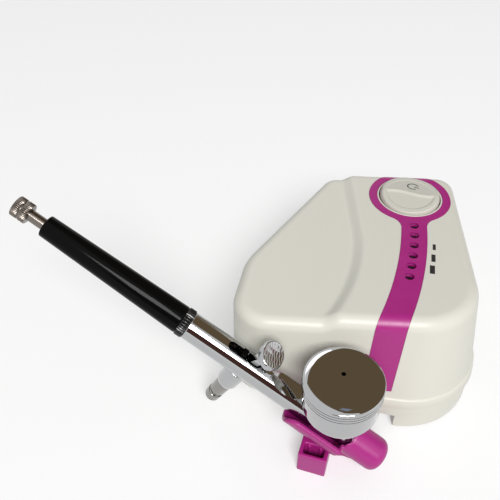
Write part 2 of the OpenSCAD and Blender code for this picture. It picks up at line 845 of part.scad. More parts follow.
module motor_magnets() {
    color("dimgray") translate([pump_x, 0, shaft_z]) difference() {
        rod_y(motor_d / 2 - can_t - fit, motor_y + 3 * can_t, motor_y + motor_l - magnet_gap);
        rod_y(rotor_r + clear, motor_y, motor_y + motor_l);
        translate([-magnet_gap / 2, motor_y, -motor_d]) cube([magnet_gap, motor_l, 2 * motor_d]);
    }
}

module motor_end_cap() {
    color("ivory") translate([pump_x, 0, shaft_z]) difference() {
        union() {
            rod_y(motor_d / 2, motor_y + motor_l, motor_y + motor_l + cap_t);
            rod_y(motor_d / 2 - can_t - fit, motor_y + motor_l - 2, motor_y + motor_l + 1);
            for (s = [-1, 1]) translate([s * lead_gap, motor_y + motor_l + cap_t, tab_z])
                cube([tab_w, tab_l, tab_t], center = true);
        }
        rod_y(shaft_d / 2 + run_fit, motor_y, motor_y + motor_l + cap_t + 1);
    }
}

module pump_bracket() {
    l = motor_y + motor_l - magnet_gap - crankcase_y;
    x0 = pump_x - bracket_w / 2;
    color("dimgray") difference() {
        union() {
            translate([x0, crankcase_y, bracket_z]) cube([bracket_w, l, bracket_t]);
            translate([x0, crankcase_y, bracket_z]) cube([bracket_w, crankcase_l, crankcase_z - bracket_z]);
            for (y = [motor_y + saddle_t, motor_y + motor_l - magnet_gap - saddle_t])
                translate([pump_x - saddle_w / 2, y, bracket_z])
                    cube([saddle_w, saddle_t, shaft_z - motor_d / 4 - bracket_z]);
        }
        translate([pump_x, 0, shaft_z]) rod_y(motor_d / 2 + fit, motor_y, motor_y + motor_l);
    }
}

module isolation_mounts() {
    ends = [crankcase_y + mount_r + 1, motor_y + motor_l - magnet_gap - mount_r - 1];
    color("dimgray") for (x = [-mount_x, mount_x], y = ends)
        translate([pump_x + x, y, floor_top]) cylinder(r = mount_r, h = bracket_z - floor_top);
}

pump_screw_at = [for (x = [-1, 1], y = [0, 1])
    [pump_x + x * (crankcase_w / 2 - 2 * pump_screw_inset),
     crankcase_y + (y == 0 ? pump_screw_inset : crankcase_l - pump_screw_inset)]];
module pump_screw_holes(gap) {
    for (p = pump_screw_at) translate([p.x, p.y, crankcase_top - pump_screw_grip - 1])
        cylinder(r = pump_screw_r + gap, h = 3 * crankcase_h);
}

module crankcase() {
    color("gray") difference() {
        translate([crankcase_x, crankcase_y, crankcase_z]) cube([crankcase_w, crankcase_l, 2 * crankcase_h]);
        translate([pump_x - cavity_w / 2, crankcase_y + crank_wall, crankcase_z + 2])
            cube([cavity_w, crankcase_l - 2 * crank_wall, 2 * crankcase_h]);
        translate([pump_x, 0, shaft_z]) rod_y(shaft_d / 2 + clear, crankcase_y + crank_wall + 1, motor_y + 1);
        pump_screw_holes(run_fit);
    }
}

module connecting_rod() {
    ring = crank_throw + bearing_r + clear;
    color("gainsboro") translate([pump_x, 0, shaft_z]) difference() {
        union() {
            rod_y(ring + big_end_wall, big_end_y - big_end_t, big_end_y);
            translate([-rod_w / 2, big_end_y - big_end_t, 0])
                cube([rod_w, big_end_t, crankcase_h - rod_foot_t]);
            translate([0, big_end_y - big_end_t / 2, crankcase_h - rod_foot_t])
                cylinder(r = rod_foot_r, h = rod_foot_t);
        }
        rod_y(ring, big_end_y - big_end_t - 1, big_end_y + 1);
    }
}

module diaphragm() {
    color("black") difference() {
        translate([crankcase_x, crankcase_y, crankcase_top]) cube([crankcase_w, crankcase_l, diaphragm_t]);
        pump_screw_holes(hole_gap);
    }
}

module valve_plate() {
    color("gainsboro") difference() {
        translate([crankcase_x, crankcase_y, plate_z]) cube([crankcase_w, crankcase_l, valve_plate_t]);
        for (s = [-1, 1]) translate([pump_x + s * port_x, crankcase_y + crankcase_l / 2, plate_z - 1])
            cylinder(r = air_bore_r, h = 2 * valve_plate_t);
        pump_screw_holes(hole_gap);
    }
}

module pump_head() {
    color("gray") difference() {
        union() {
            translate([crankcase_x, crankcase_y, head_z]) cube([crankcase_w, crankcase_l, head_h]);
            translate([air_x, 0, air_z]) rod_y(barb_r, motor_y - eps, motor_y + barb_l);
        }
        translate([pump_x, crankcase_y + crankcase_l / 2, head_z])
            cube([chest.x, chest.y, 2 * chest.z], center = true);
        translate([air_x, 0, air_z]) rod_y(air_bore_r, crankcase_y + crankcase_l / 2, motor_y + barb_l + 1);
        pump_screw_holes(hole_gap);
    }
}

module pump_screws() {
    l = head_z + head_h - crankcase_top + pump_screw_grip;
    color("silver") for (p = pump_screw_at) translate([p.x, p.y, crankcase_top - pump_screw_grip]) {
        cylinder(r = pump_screw_r, h = l);
        translate([0, 0, l]) cylinder(r = pump_head_r, h = pump_head_h);
    }
}

module intake_filter() {
    color("white") translate([0, crankcase_y + crankcase_l / 2, air_z])
        rod_x(filter_r, crankcase_x - filter_l, crankcase_x);
}

// Hose from the pump head down to the outlet: straight over both barbs, with a slightly swollen knee at each
module air_line(r, more) {
    start = motor_y + fit;
    end = inner_end_y - fit;
    knees = [[0, start + barb_l + 1, 0], [0, end - barb_l - 1, -outlet_drop]];
    rod_y(r, start - more, knees[0].y);
    translate([0, 0, -outlet_drop]) rod_y(r, knees[1].y, end + more);
    rod_between(knees[0], knees[1], r - fit);
    for (p = knees) translate(p) sphere(r = r + fit);
}
module air_tube() {
    color("lightgray") translate([air_x, 0, air_z]) difference() {
        air_line(barb_r + run_fit + tube_wall, 0);
        air_line(barb_r + run_fit, 1);
    }
}

module motor_leads() {
    start = [pump_x, motor_y + motor_l + cap_t + tab_l / 2, shaft_z + tab_z + tab_t / 2 + lead_r];
    color("firebrick") for (s = [-1, 1]) {
        a = start + [s * lead_gap, 0, 0];
        b = [a.x, a.y + 3, board_top - lead_drop - s];
        c = [board_x[0] + 4 + s * 2, b.y + s * 2, b.z];
        d = [c.x, c.y, board_top - board_t];
        rod_between(a, b, lead_r);
        rod_between(b, c, lead_r);
        rod_between(c, d, lead_r);
        for (p = [b, c]) translate(p) sphere(r = lead_r + fit);
    }
}

module motor_shaft() {
    color("silver") translate([pump_x, 0, shaft_z])
        rod_y(shaft_d / 2, weight_y - weight_t, motor_y + motor_l + cap_t - clear);
}

module motor_rotor() {
    color("sienna") translate([pump_x, 0, shaft_z]) difference() {
        rod_y(rotor_r, motor_y + 4 * can_t, motor_y + motor_l - cap_t - can_t);
        rod_y(shaft_d / 2, motor_y, motor_y + motor_l);
    }
}

module eccentric_weight() {
    color("darkgray") translate([pump_x, 0, shaft_z]) difference() {
        union() {
            difference() {
                rod_y(weight_r, weight_y - weight_t, weight_y);
                translate([-weight_r, weight_y - weight_t - 1, weight_r / 2])
                    cube([2 * weight_r, weight_t + 2, weight_r]);
            }
            translate([crank_throw, 0, 0])
                rod_y(crank_pin_r, big_end_y - big_end_t, weight_y - weight_t + eps);
        }
        rod_y(shaft_d / 2, weight_y - weight_t, weight_y + 1);
    }
}

module crank_bearing() {
    color("silver") translate([pump_x + crank_throw, 0, shaft_z]) difference() {
        rod_y(bearing_r, big_end_y - big_end_t + fit, big_end_y - fit);
        rod_y(crank_pin_r, big_end_y - big_end_t - 1, big_end_y + 1);
    }
}

// Holder: cradle and closed sleeve along the nose, square socket, rib on the table, arm into the notch
module airbrush_holder() {
    color("mediumvioletred") difference() {
        union() {
            in_airbrush() {
                difference() {
                    rod_x(cradle_r, cradle_start, cradle_end);
                    translate([cradle_start - 1, -cradle_r - 1, cradle_lip])
                        cube([cradle_end, 2 * cradle_r + 2, cradle_r]);
                    difference() {
                        translate([cradle_start - 1, -cradle_r - 1, cradle_lip - lobe_r])
                            cube([lobe_r + 1, 2 * cradle_r + 2, lobe_r + 1]);
                        translate([cradle_start + lobe_r, 0, cradle_lip - lobe_r]) rotate([90, 0, 0])
                            cylinder(r = lobe_r, h = 4 * cradle_r, center = true);
                    }
                }
                turned_x(concat([[0, sleeve_start], [sleeve_r, sleeve_start]],
                    [for (t = [0 : 15 : 90])
                        [sleeve_r, sleeve_end] - sleeve_round * [1 - cos(t), 1 - sin(t)]],
                    [[0, sleeve_end]]));
            }
            in_holder() {
                in_socket() {
                    cube([socket_w, socket_l, socket_h]);
                    translate([0, socket_l - holder_wall, 0])
                        cube([socket_w, rib_y[1] - socket_y - socket_l, socket_h]);
                }
                translate([socket_x, rib_y[0], 0]) rotate([90, 0, 0]) mirror([0, 0, 1])
                    linear_extrude(rib_y[1] - rib_y[0]) polygon([
                        [0, 0], [rib_l, 0], [rib_l, rib_top(socket_x + rib_l)], [0, rib_top(socket_x)]]);
            }
            translate([arm_left, arm_front, 0]) cube([arm_w, notch_back - arm_gap - arm_front, arm_h]);
        }
        in_airbrush() {
            rod_x(cradle_bore_r, cradle_start - cradle_r, sleeve_start);
            rod_x(sleeve_bore_r, sleeve_start - 1, sleeve_end - holder_wall);
            translate([cradle_start - cradle_r, -cradle_r - 1, cradle_lip])
                cube([cradle_end - cradle_start + cradle_r, 2 * cradle_r + 2, open_h]);
            translate([cradle_start - cradle_r, -sleeve_bore_r, 0])
                cube([sleeve_start - cradle_start + cradle_r + 2, 2 * sleeve_bore_r, open_h]);
        }
        in_holder() in_socket() difference() {
            translate([holder_wall, holder_wall, holder_wall])
                cube([socket_w - 2 * holder_wall, socket_l - 2 * holder_wall, socket_h]);
            for (x = [0.3, 0.7])
                translate([x * socket_w - socket_rib_t / 2, socket_l - holder_wall - socket_rib_t, 0])
                    cube([socket_rib_t, holder_wall + socket_rib_t, socket_h - socket_rib_t]);
        }
    }
}

module airbrush_body() {
    color("silver") difference() {
        in_airbrush() difference() {
            turned_x([[0, 0], [tube_r - edge / 2, 0], [tube_r, edge / 2], [tube_r, head_x],
                      [tube_r - edge, head_x + 1], [head_tip_r, head_end], [0, head_end]]);
            rod_x(chamber_r, -1, chamber_x);
            rod_x(passage_r, chamber_x - 1, head_end + 1);
            for (x = [slot_back + slot_w / 2, slot_front - slot_w / 2]) translate([x, 0, 0])
                cylinder(r = slot_w / 2, h = 2 * tube_r);
            translate([slot_back + slot_w / 2, -slot_w / 2, 0])
                cube([slot_front - slot_back - slot_w, slot_w, 2 * tube_r]);
            translate([trigger_x, 0, -2 * tube_r]) cylinder(r = valve_bore_r, h = 2 * tube_r);
            translate([trigger_x, 0, -2 * tube_r - valve_seat])
                cylinder(r = valve_r + fit / 2, h = 2 * tube_r);
            translate([scoop_x, 0, tube_r + scoop_r - scoop_depth]) rotate([90, 0, 0])
                cylinder(r = scoop_r, h = 4 * tube_r, center = true);
        }
        in_cup() {
            cylinder(r = cup_drain_r, h = 2 * cup_seat);
            translate([0, 0, cup_seat - cup_seat_depth]) cylinder(r = stem_r + fit / 2, h = 2 * cup_seat);
        }
    }
}

module paint_cup() {
    seat = cup_seat - cup_seat_depth;
    turn = [cup_r - cup_fillet, cup_floor + cup_fillet];
    inner = cup_fillet - cup_wall;
    color("silver") in_cup() rotate_extrude() polygon(concat(
        [[cup_drain_r, seat], [stem_r, seat], [stem_r, cup_seat + cup_cone]],
        [for (t = [0 : 10 : 90]) turn + cup_fillet * [sin(t), -cos(t)]],
        [[cup_r, cup_rim], [cup_r - cup_wall, cup_rim]],
        [for (t = [90 : -10 : 0]) turn + inner * [sin(t), -cos(t)]],
        [[cup_drain_r, cup_seat + cup_cone]]));
}

module cup_lid() {
    r = lid_r;
    top = cup_rim + lid_top;
    low = top - lid_skirt;
    color("silver") in_cup() difference() {
        rotate_extrude() polygon(concat(
            [[cup_r + run_fit, low], [r, low]],
            [for (i = [0 : 2], k = [0 : 3])
                [r - (k == 1 || k == 2 ? lid_groove : 0), low + edge + lid_groove_pitch * (i + k / 5)]],
            [[r, top - edge], [r - edge, top], [0, top + lid_dome]],
            [[0, cup_rim], [cup_r + run_fit, cup_rim]]));
        translate([vent_at.x, vent_at.y, cup_rim - 1]) cylinder(r = vent_r, h = 2 * lid_skirt, $fn = 24);
    }
}

module nozzle() {
    color("gold") in_airbrush() turned_x([
        [needle_r + fit, head_end], [nozzle_r, head_end], [nozzle_r, head_end + nozzle_l],
        [nozzle_r - edge, head_end + nozzle_l + edge], [nozzle_tip_r, nose_end - tip_inset],
        [nozzle_tip_r - hole_gap, nose_end - tip_inset]]);
}

module nozzle_cap() {
    r = head_tip_r;
    color("silver") in_airbrush() turned_x([
        [nozzle_r + fit, head_end], [r, head_end], [r, head_end + nozzle_l + edge], [r - edge, cap_x],
        [cap_bore_r, cap_x], [cap_bore_r, cap_x - edge], [nozzle_r + fit, head_end + nozzle_l + edge]]);
}

module needle_cap() {
    r = head_tip_r - 1.5 * edge;
    color("silver") in_airbrush() turned_x([
        [cap_bore_r, cap_x], [r, cap_x], [r - edge, nose_end - edge], [r - 1.5 * edge, nose_end],
        [r - 2.5 * edge, nose_end], [cap_bore_r, nose_end - tip_inset]]);
}

module valve_casing() {
    r = valve_r;
    color("silver") in_valve() rotate([180, 0, 0]) rotate_extrude() polygon([
        [valve_bore_r, valve_seat], [r, valve_seat], [r, valve_end - 3], [r - edge, valve_end - 1],
        [nipple_d / 2, valve_end], [valve_bore_r, valve_end]]);
}

// Hose nipple with a groove for the hose and a rounded tip
module hose_nipple() {
    r = nipple_d / 2;
    neck = r - nipple_groove;
    groove = nipple_reach - nipple_groove_at;
    slant = nipple_groove;
    round_z = nipple_reach - nipple_round;
    color("silver") in_valve() rotate([180, 0, 0]) rotate_extrude() polygon(concat(
        [[nipple_bore_r, valve_end], [r, valve_end], [r, groove - slant], [neck, groove],
         [neck, groove + nipple_groove_w], [r, groove + nipple_groove_w + slant]],
        [for (t = [0 : 20 : 80]) [r - nipple_round * (1 - cos(t)), round_z + nipple_round * sin(t)]],
        [[nipple_bore_r, nipple_reach]]));
}

module valve_spring() {
    color("silver") in_valve() translate([0, 0, -valve_spring_z])
        coil(valve_spring_r, spring_wire_r, valve_spring_pitch, valve_spring_turns);
}

module valve_screw() {
    color("gold") in_valve() translate([0, 0, -valve_end]) difference() {
        cylinder(r = valve_bore_r, h = valve_screw_t);
        translate([0, 0, -1]) cylinder(r = piston_r + hole_gap, h = 2 * valve_screw_t);
    }
}

module handle_ring() {
    color("black") in_airbrush() difference() {
        knurled_x(ring_r, -ring_l, 0, ring_teeth, ring_tooth);
        rod_x(case_r + fit, -ring_l - 1, 1);
    }
}

module handle() {
    r0 = handle_front_r;
    r1 = handle_tail_d / 2;
    neck = neck_r + run_fit;
    bearing = -handle_end + neck_in + 2;
    color("black") in_airbrush() turned_x([
        [case_r + fit, -ring_l], [r0 - edge / 2, -ring_l], [r0, -ring_l - edge / 2], [r1, -handle_end + edge],
        [r1 - edge, -handle_end], [neck, -handle_end], [neck, bearing], [handle_bore_r, bearing + 2],
        [handle_bore_r, -case_l - 2], [case_r + fit, -case_l - 1]]);
}

module spring_case() {
    color("silver") in_airbrush() difference() {
        rod_x(case_r, -case_l, case_in);
        rod_x(case_bore_r, -case_l + case_end_t, case_in + 1);
        rod_x(needle_tube_r + hole_gap, -case_l - 1, case_in + 1);
    }
}

module needle_spring() {
    start = -case_l + case_end_t + clear + spring_wire_r;
    color("silver") in_airbrush() rotate([0, 90, 0]) translate([0, 0, start])
        coil(needle_spring_r, spring_wire_r, needle_spring_pitch, needle_spring_turns);
}

module valve_piston() {
    foot = -valve_end - 1;
    color("gold") in_valve() {
        translate([0, 0, foot]) cylinder(r = piston_r, h = -piston_top - foot);
        translate([0, 0, -piston_top - piston_head_t]) cylinder(r = valve_bore_r - clear, h = piston_head_t);
    }
}

// Trigger: forked stem over the needle, dished oval finger plate with cross ridges
module trigger() {
    top = trigger_h - pivot_z;
    color("silver") in_trigger() difference() {
        union() {
            rotate([90, 0, 0]) cylinder(r = fork_foot_r, h = fork_w, center = true);
            translate([-fork_foot_r, -fork_w / 2, 0]) cube([2 * fork_foot_r, fork_w, top - plate_t - 2]);
            translate([0, 0, top - plate_t - neck_h])
                cylinder(r1 = fork_w / 2, r2 = fork_w, h = neck_h + eps);
            intersection() {
                translate([0, 0, top - plate_t]) linear_extrude(plate_t)
                    resize([plate_w, plate_l]) circle(r = plate_l / 2);
                translate([0, 0, top + hole_gap - plate_dome_r]) sphere(r = plate_dome_r);
            }
        }
        translate([-fork_w, -fork_gap / 2, -fork_w]) cube([2 * fork_w, fork_gap, fork_w - pivot_z + fork_w]);
        translate([0, 0, top - plate_dish + plate_dish_r]) sphere(r = plate_dish_r);
        for (i = [-plate_ridges : plate_ridges]) translate([plate_ridge_pitch * i, -plate_l, top - clear])
            rotate([-90, 0, 0]) cylinder(r = clear, h = 2 * plate_l, $fn = 16);
    }
}

module needle() {
    tip = nose_end - 0.3;
    color("silver") in_airbrush() turned_x([
        [0, needle_tail], [needle_r, needle_tail], [needle_r, nose_end - needle_taper],
        [needle_tip_r, tip], [0, tip]]);
}

module needle_tube() {
    color("silver") in_airbrush() difference() {
        union() {
            rod_x(needle_tube_r, -case_l - tube_tail, slot_back + 1);
            rod_x(case_bore_r - hole_gap, spring_stop, spring_stop + stop_t);
        }
        rod_x(needle_r, -case_l - tube_tail - 1, slot_back + 2);
    }
}

module needle_chuck() {
    front = -case_l - tube_tail;
    color("gold") in_airbrush() difference() {
        union() {
            rod_x(chuck_r, front - chuck_neck - chuck_l, front - chuck_neck);
            rod_x(needle_tube_r + clear, front - chuck_neck - eps, front);
        }
        rod_x(needle_r, front - chuck_neck - chuck_l - 1, front + 1);
    }
}

// Lever behind the trigger, with a bush that carries it on the needle
module back_lever() {
    x0 = slot_back + 1;
    front = trigger_x - fork_foot_r - clear;
    color("black") in_airbrush() difference() {
        union() {
            translate([front - lever_t, -lever_w / 2, -lever_bush_r])
                cube([lever_t, lever_w, lever_bush_r + lever_h]);
            rod_x(lever_bush_r, x0, front - 1);
        }
        rod_x(needle_r, x0 - 1, front + 1);
    }
}

module travel_knob() {
    r = knob_d / 2;
    band = (knob_l - 1) / 2;
    color("silver") in_airbrush() union() {
        rod_x(neck_r, -knob_x, -handle_end + neck_in);
        knurled_x(r, -knob_x - band, -knob_x, knob_teeth, knob_tooth);
        rod_x(r - 2 * knob_tooth, -knob_end + band - eps, -knob_x - band + eps);
        knurled_x(r, -knob_end, -knob_end + band, knob_teeth, knob_tooth);
    }
}

// Joint axes and mount places in the object's frame
echo(place = place);
echo(grip = in_case([0, 0, 0]) + place);
echo(tail_dir = aim([-1, 0, 0]));
echo(trigger_down = aim([0, 0, -1]));
echo(pull_axis = aim([0, -1, 0]));
echo(pull_at = in_case([trigger_x, 0, pivot_z]) + place);
echo(lid_up = lid_dir);
echo(cup_at = in_case([cup_x, 0, 0]) + place);
echo(nipple_tip = in_case([trigger_x, 0, -nipple_reach]) + place);
echo(outlet = [air_x, outlet_end_y, outlet_z] + place);
echo(rocker = [dial.x, dial.y, pin_z] + place);
echo(rocker_axis = [cos(button_turn), sin(button_turn), 0]);
echo(shaft = [pump_x, motor_y, shaft_z] + place);

placed() base_tray();
placed() top_cover();
placed() accent_strip();
placed() rubber_feet();
placed() cover_screws();
placed() control_board();
placed() board_screws();
placed() tact_switches();
placed() status_leds();
placed() rocker_pin();
placed() dc_jack();
placed() outlet_fitting();
placed() motor_can();
placed() motor_magnets();
placed() motor_end_cap();
placed() pump_bracket();
placed() isolation_mounts();
placed() crankcase();
placed() connecting_rod();
placed() diaphragm();
placed() valve_plate();
placed() pump_head();
placed() pump_screws();
placed() intake_filter();
placed() air_tube();
placed() motor_leads();
placed() rocker_button();
placed() motor_shaft();
placed() motor_rotor();
placed() eccentric_weight();
placed() crank_bearing();
placed() airbrush_holder();
placed() airbrush_body();
placed() paint_cup();
placed() nozzle();
placed() nozzle_cap();
placed() needle_cap();
placed() valve_casing();
placed() hose_nipple();
placed() valve_spring();
placed() valve_screw();
placed() handle_ring();
placed() handle();
placed() spring_case();
placed() needle_spring();
placed() cup_lid();
placed() valve_piston();
placed() trigger();
placed() needle();
placed() needle_chuck();
placed() needle_tube();
placed() back_lever();
placed() travel_knob();
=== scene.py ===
"""Looks of the airbrush compressor: smooth skins over the solids, materials, light and camera."""
import json
import math

import bmesh
import bpy
from mathutils import Matrix, Vector
from mathutils.bvhtree import BVHTree
from mathutils.interpolate import poly_3d_calc


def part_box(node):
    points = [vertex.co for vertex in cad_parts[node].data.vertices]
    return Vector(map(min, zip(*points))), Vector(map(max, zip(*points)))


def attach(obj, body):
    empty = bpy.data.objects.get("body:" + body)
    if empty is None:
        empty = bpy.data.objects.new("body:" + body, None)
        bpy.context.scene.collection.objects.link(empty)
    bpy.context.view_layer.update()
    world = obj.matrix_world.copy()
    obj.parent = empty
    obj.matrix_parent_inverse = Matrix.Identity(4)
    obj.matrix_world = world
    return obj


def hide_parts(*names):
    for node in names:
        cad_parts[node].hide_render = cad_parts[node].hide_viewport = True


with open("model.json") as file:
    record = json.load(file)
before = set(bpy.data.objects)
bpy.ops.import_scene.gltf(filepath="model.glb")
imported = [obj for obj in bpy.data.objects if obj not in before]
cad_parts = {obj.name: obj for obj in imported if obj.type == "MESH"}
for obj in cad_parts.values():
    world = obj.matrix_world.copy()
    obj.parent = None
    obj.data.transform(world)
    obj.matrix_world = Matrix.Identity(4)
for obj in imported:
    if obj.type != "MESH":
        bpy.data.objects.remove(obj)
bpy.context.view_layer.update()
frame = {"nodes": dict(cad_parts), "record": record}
record = frame["record"]
scene = bpy.context.scene
MM = 0.001
QUARTER, FULL = math.pi / 2, 2 * math.pi

# ---- Sizes of the solids, in mm and degrees ----
# Casing
SEAM_Z, BAND_H, BAND_PROUD, COVER_TOP = 16.0, 5.0, 0.8, 63.0
PANEL_STEP, SLOPE_W, SHOULDER_R, WALL, FLOOR_Z, FLOOR_TOP = 3.0, 6.5, 5.0, 2.4, 1.2, 3.6
CASE_RIGHT, CASE_REAR = 55.5, 57.0
# x, y, radius, draft of the cover and draw-in of the base at each corner of the casing
CORNERS = ((-41.5, -30, 16, 0.5, 11), (20.5, -22, 34, 7, 0), (44.5, 44, 11, 2.5, 0), (-5, 48, 9, 1, 0),
           (-25, -17, 30, 1.2, 13))
BASE_STRAIGHT = 2.0
BAND_TOP, BEND_Z = SEAM_Z + BAND_H, SEAM_Z - BASE_STRAIGHT
CREASE_X, CREASE_Y, CREASE_R = 0.0, 12.0, 95.0
NOTCH_LOW, NOTCH_HIGH, LINING_FRONT = (-13.0, -70.0, -1.0), (14.5, -44.0, 9.0), -60
BOSSES = ((-40.5, -28), (26.5, -42), (46.1, 45.6), (-5, 47.5))
BOSS_R, BOSS_LOW, BOSS_TOP, SCREW_HOLE_R, SCREW_HOLE_TOP = 4.5, FLOOR_Z + 0.2, SEAM_Z - 2, 3.15, 7
FEET = ((-33, -18), (40.5, -28), (44.5, 30), (-12, 36))
FOOT_R, FOOT_RECESS_R, FOOT_ROUND, FOOT_TOP = 5, 5.1, 0.6, FLOOR_Z + 1
INLET_X, INLET_Z, INLET_HOLE_R = 24, 9, 4.25
AIR_X, AIR_Z, OUTLET_R, OUTLET_L, OUTLET_NUT_R, OUTLET_NUT_H = 5.0, 36.0, 4.85, 9.0, 7.0, 4.5
OUTLET_FIT, OUTLET_BORE_R, OUTLET_TAIL, THREAD_PITCH, THREAD_DEPTH = 0.25, 2.4, 6, 0.907, 0.55

# Trim, button and lenses
DIAL = Vector((28.8, 34.5))
RING_R, STRIP_W, STRIP_ARC_R, STRIP_FILLET, STRIP_OFF = 19.8, 11.8, 205.0, 7.0, (0.7, 10.5)
STRIP_CENTRE = Vector((DIAL.x + STRIP_OFF[0] - STRIP_ARC_R, DIAL.y + STRIP_OFF[1]))
STRIP_START, STRIP_FRONT_Y = DIAL.y - 4, -70
STRIP_DEPTH, STRIP_PROUD, STRIP_END_Z, FIT, LIP_W, LIP_ROUND = 1.0, 0.25, 25.0, 0.1, 0.8, 0.3
BUTTON_R, BUTTON_RISE, BUTTON_FALL, BUTTON_TURN, BUTTON_ROUND = 14.5, 3.2, 1.8, -10.5, 2.4
WELL_R, WELL_WALL, WELL_Z, BUTTON_FOOT = BUTTON_R + 0.5, 1.5, 54.0, 57.0
LED_COUNT, LED_PITCH, LED_START, LED_R, LED_HOLE_R = 6, 7.0, 2.7, 2.0, 2.15
LENS_TOP, LENS_DOME, LENS_FOOT = COVER_TOP - 1.4, 0.5, 50.6

# Airbrush
TUBE_R, TUBE_EDGE, TUBE_ROUND, HEAD_X, HEAD_END, HEAD_TIP_R, HEAD_STEP = 6.0, 0.3, 0.5, 64.0, 84.0, 4.9, 0.6
CHAMBER_R, CHAMBER_X, VALVE_BORE_R = 4.2, 42.0, 3.0
SLOT_BACK, SLOT_FRONT, SLOT_R = 8.3, 3.6, 2.2
SCOOP_X, SCOOP_R, SCOOP_DEPTH, SCOOP_SIDE = 47, 20, 1.7, 24
CUP_X, CUP_R, CUP_WALL, CUP_FLOOR, CUP_FILLET, CUP_RIM = 75.0, 15.3, 1.0, 13.5, 6.0, 33.0
CUP_SEAT, CUP_CONE, STEM_R, STEM_L, STEM_FLARE, CUP_BORE_R, RIM_EDGE = 6.5, 3.0, 4.2, 2.5, 0.4, 1.2, 0.2
LID_R, LID_TOP, LID_SKIRT, LID_FIT, LID_EDGE, LID_CROWN = 15.9, 1.6, 6.0, 0.05, 0.8, 0.8
GROOVE_COUNT, GROOVE_LOW, GROOVE_W, GROOVE_DEPTH, GROOVE_PITCH = 3, 1.1, 0.36, 0.3, 1.55
VENT_R, VENT_AT = 0.9, (-0.8, 1.9, 0)
TRIGGER_X, PIVOT_Z, TRIGGER_LEAN, TRIGGER_TOP = 28.0, -1.5, 16.0, 20.0
PLATE_W, PLATE_L, PLATE_T, FORK_W = 11.0, 13.2, 3.2, 3.6
FORK_GAP, FORK_TOP, FORK_FOOT_R = 2.0, 5.1, 1.5
NECK_L, NECK_FLARE, NECK_CURVE = 4, 2.6, 2.2
VALVE_R, VALVE_TOP, VALVE_END, VALVE_ROUND = 4.8, 4.6, 20, 0.3
VALVE_TAPER = ((VALVE_R, 17), (4.2, 19))
NIPPLE_R, NIPPLE_BORE_R, NIPPLE_TIP, NIPPLE_END, NIPPLE_ROUND = 3.6, 1.5, 35.9, 38, 0.25
NIPPLE_GROOVE = ((NIPPLE_R, 29.3), (2.7, 30.2), (2.7, 31.6), (NIPPLE_R, 32.5))
GRIP_RING_L, GRIP_RING_R, RING_TEETH, RING_TOOTH, SOCKET_R = 3.4, 6.35, 30, 0.45, 4.1
HANDLE_END, HANDLE_FRONT_R, HANDLE_TAIL_R, HANDLE_ROUND = 70.4, 6.1, 4.8, 0.7
# radius and place of the steps in the handle's bore, from the tail
HANDLE_BORE = ((2.55, -HANDLE_END), (2.55, -60.4), (3.2, -58.4), (3.2, -30), (SOCKET_R, -29))
KNOB_X, KNOB_END, KNOB_R, KNOB_NECK_R, KNOB_NECK_END, KNOB_GROOVE = 77.9, 84.6, 4.5, 2.5, 62.4, 0.5
KNOB_CORE_IN, KNURL = 0.5, {"teeth": 34, "depth": 0.3, "chamfer": 0.2}


# ---- Frames of the case, the airbrush, its cup, trigger and valve, and the rocker, in mm ----
def joint(name):
    return next(j for j in record["behaviour"]["joints"] if j["name"] == name)


def pos_mm(name):
    return Vector(joint(name)["pos_m"]) / MM


def axis_of(name):
    return Vector(joint(name)["axis"]).normalized()


def axes_at(origin, x, z):
    """Frame in mm with that origin, x along x and z close to z."""
    x = x.normalized()
    y = z.cross(x).normalized()
    z = x.cross(y)
    m = Matrix((x, y, z)).transposed().to_4x4()
    m.translation = origin
    return m


tray_high = Vector(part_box("base_tray")[1]) / MM
CASE = Matrix.Translation((tray_high.x - CASE_RIGHT, tray_high.y - CASE_REAR, 0))
AIRBRUSH = axes_at(pos_mm("knob_turn"), -axis_of("knob_turn"), -axis_of("trigger_press"))
CUP_UP, TUBE_WAY = axis_of("lid_lift"), AIRBRUSH.to_3x3() @ Vector((1, 0, 0))
CUP = axes_at(AIRBRUSH @ Vector((CUP_X, 0, 0)), TUBE_WAY - CUP_UP * TUBE_WAY.dot(CUP_UP), CUP_UP)
TRIGGER = (AIRBRUSH @ Matrix.Translation((TRIGGER_X, 0, PIVOT_Z)) @
           Matrix.Rotation(math.radians(TRIGGER_LEAN), 4, "Y"))
VALVE = AIRBRUSH @ Matrix.Translation((TRIGGER_X, 0, 0)) @ Matrix.Rotation(math.pi, 4, "X")


def upright(p):
    """Frame in the case that stands over the point p of its plan."""
    return CASE @ Matrix.Translation((p.x, p.y, 0))


def rearward(x, z):
    """Frame in the case whose own z runs to the rear."""
    return CASE @ Matrix.Translation((x, 0, z)) @ Matrix.Rotation(-QUARTER, 4, "X")


ROCKER = upright(DIAL) @ Matrix.Rotation(math.radians(BUTTON_TURN), 4, "Z")

# ---- Materials ----
NOISE_LOW, NOISE_HIGH = 0.3, 0.7  # nearly all of a noise texture's values lie between
PATCH, GLOSS_FINER, COAT_ROUGH = 45.0, 3.1, 0.06


def srgb(*v):
    """Linear colour of an sRGB one given as 0 to 255."""
    return tuple(x / 255 / 12.92 if x <= 10 else ((x / 255 + 0.055) / 1.055) ** 2.4 for x in v)


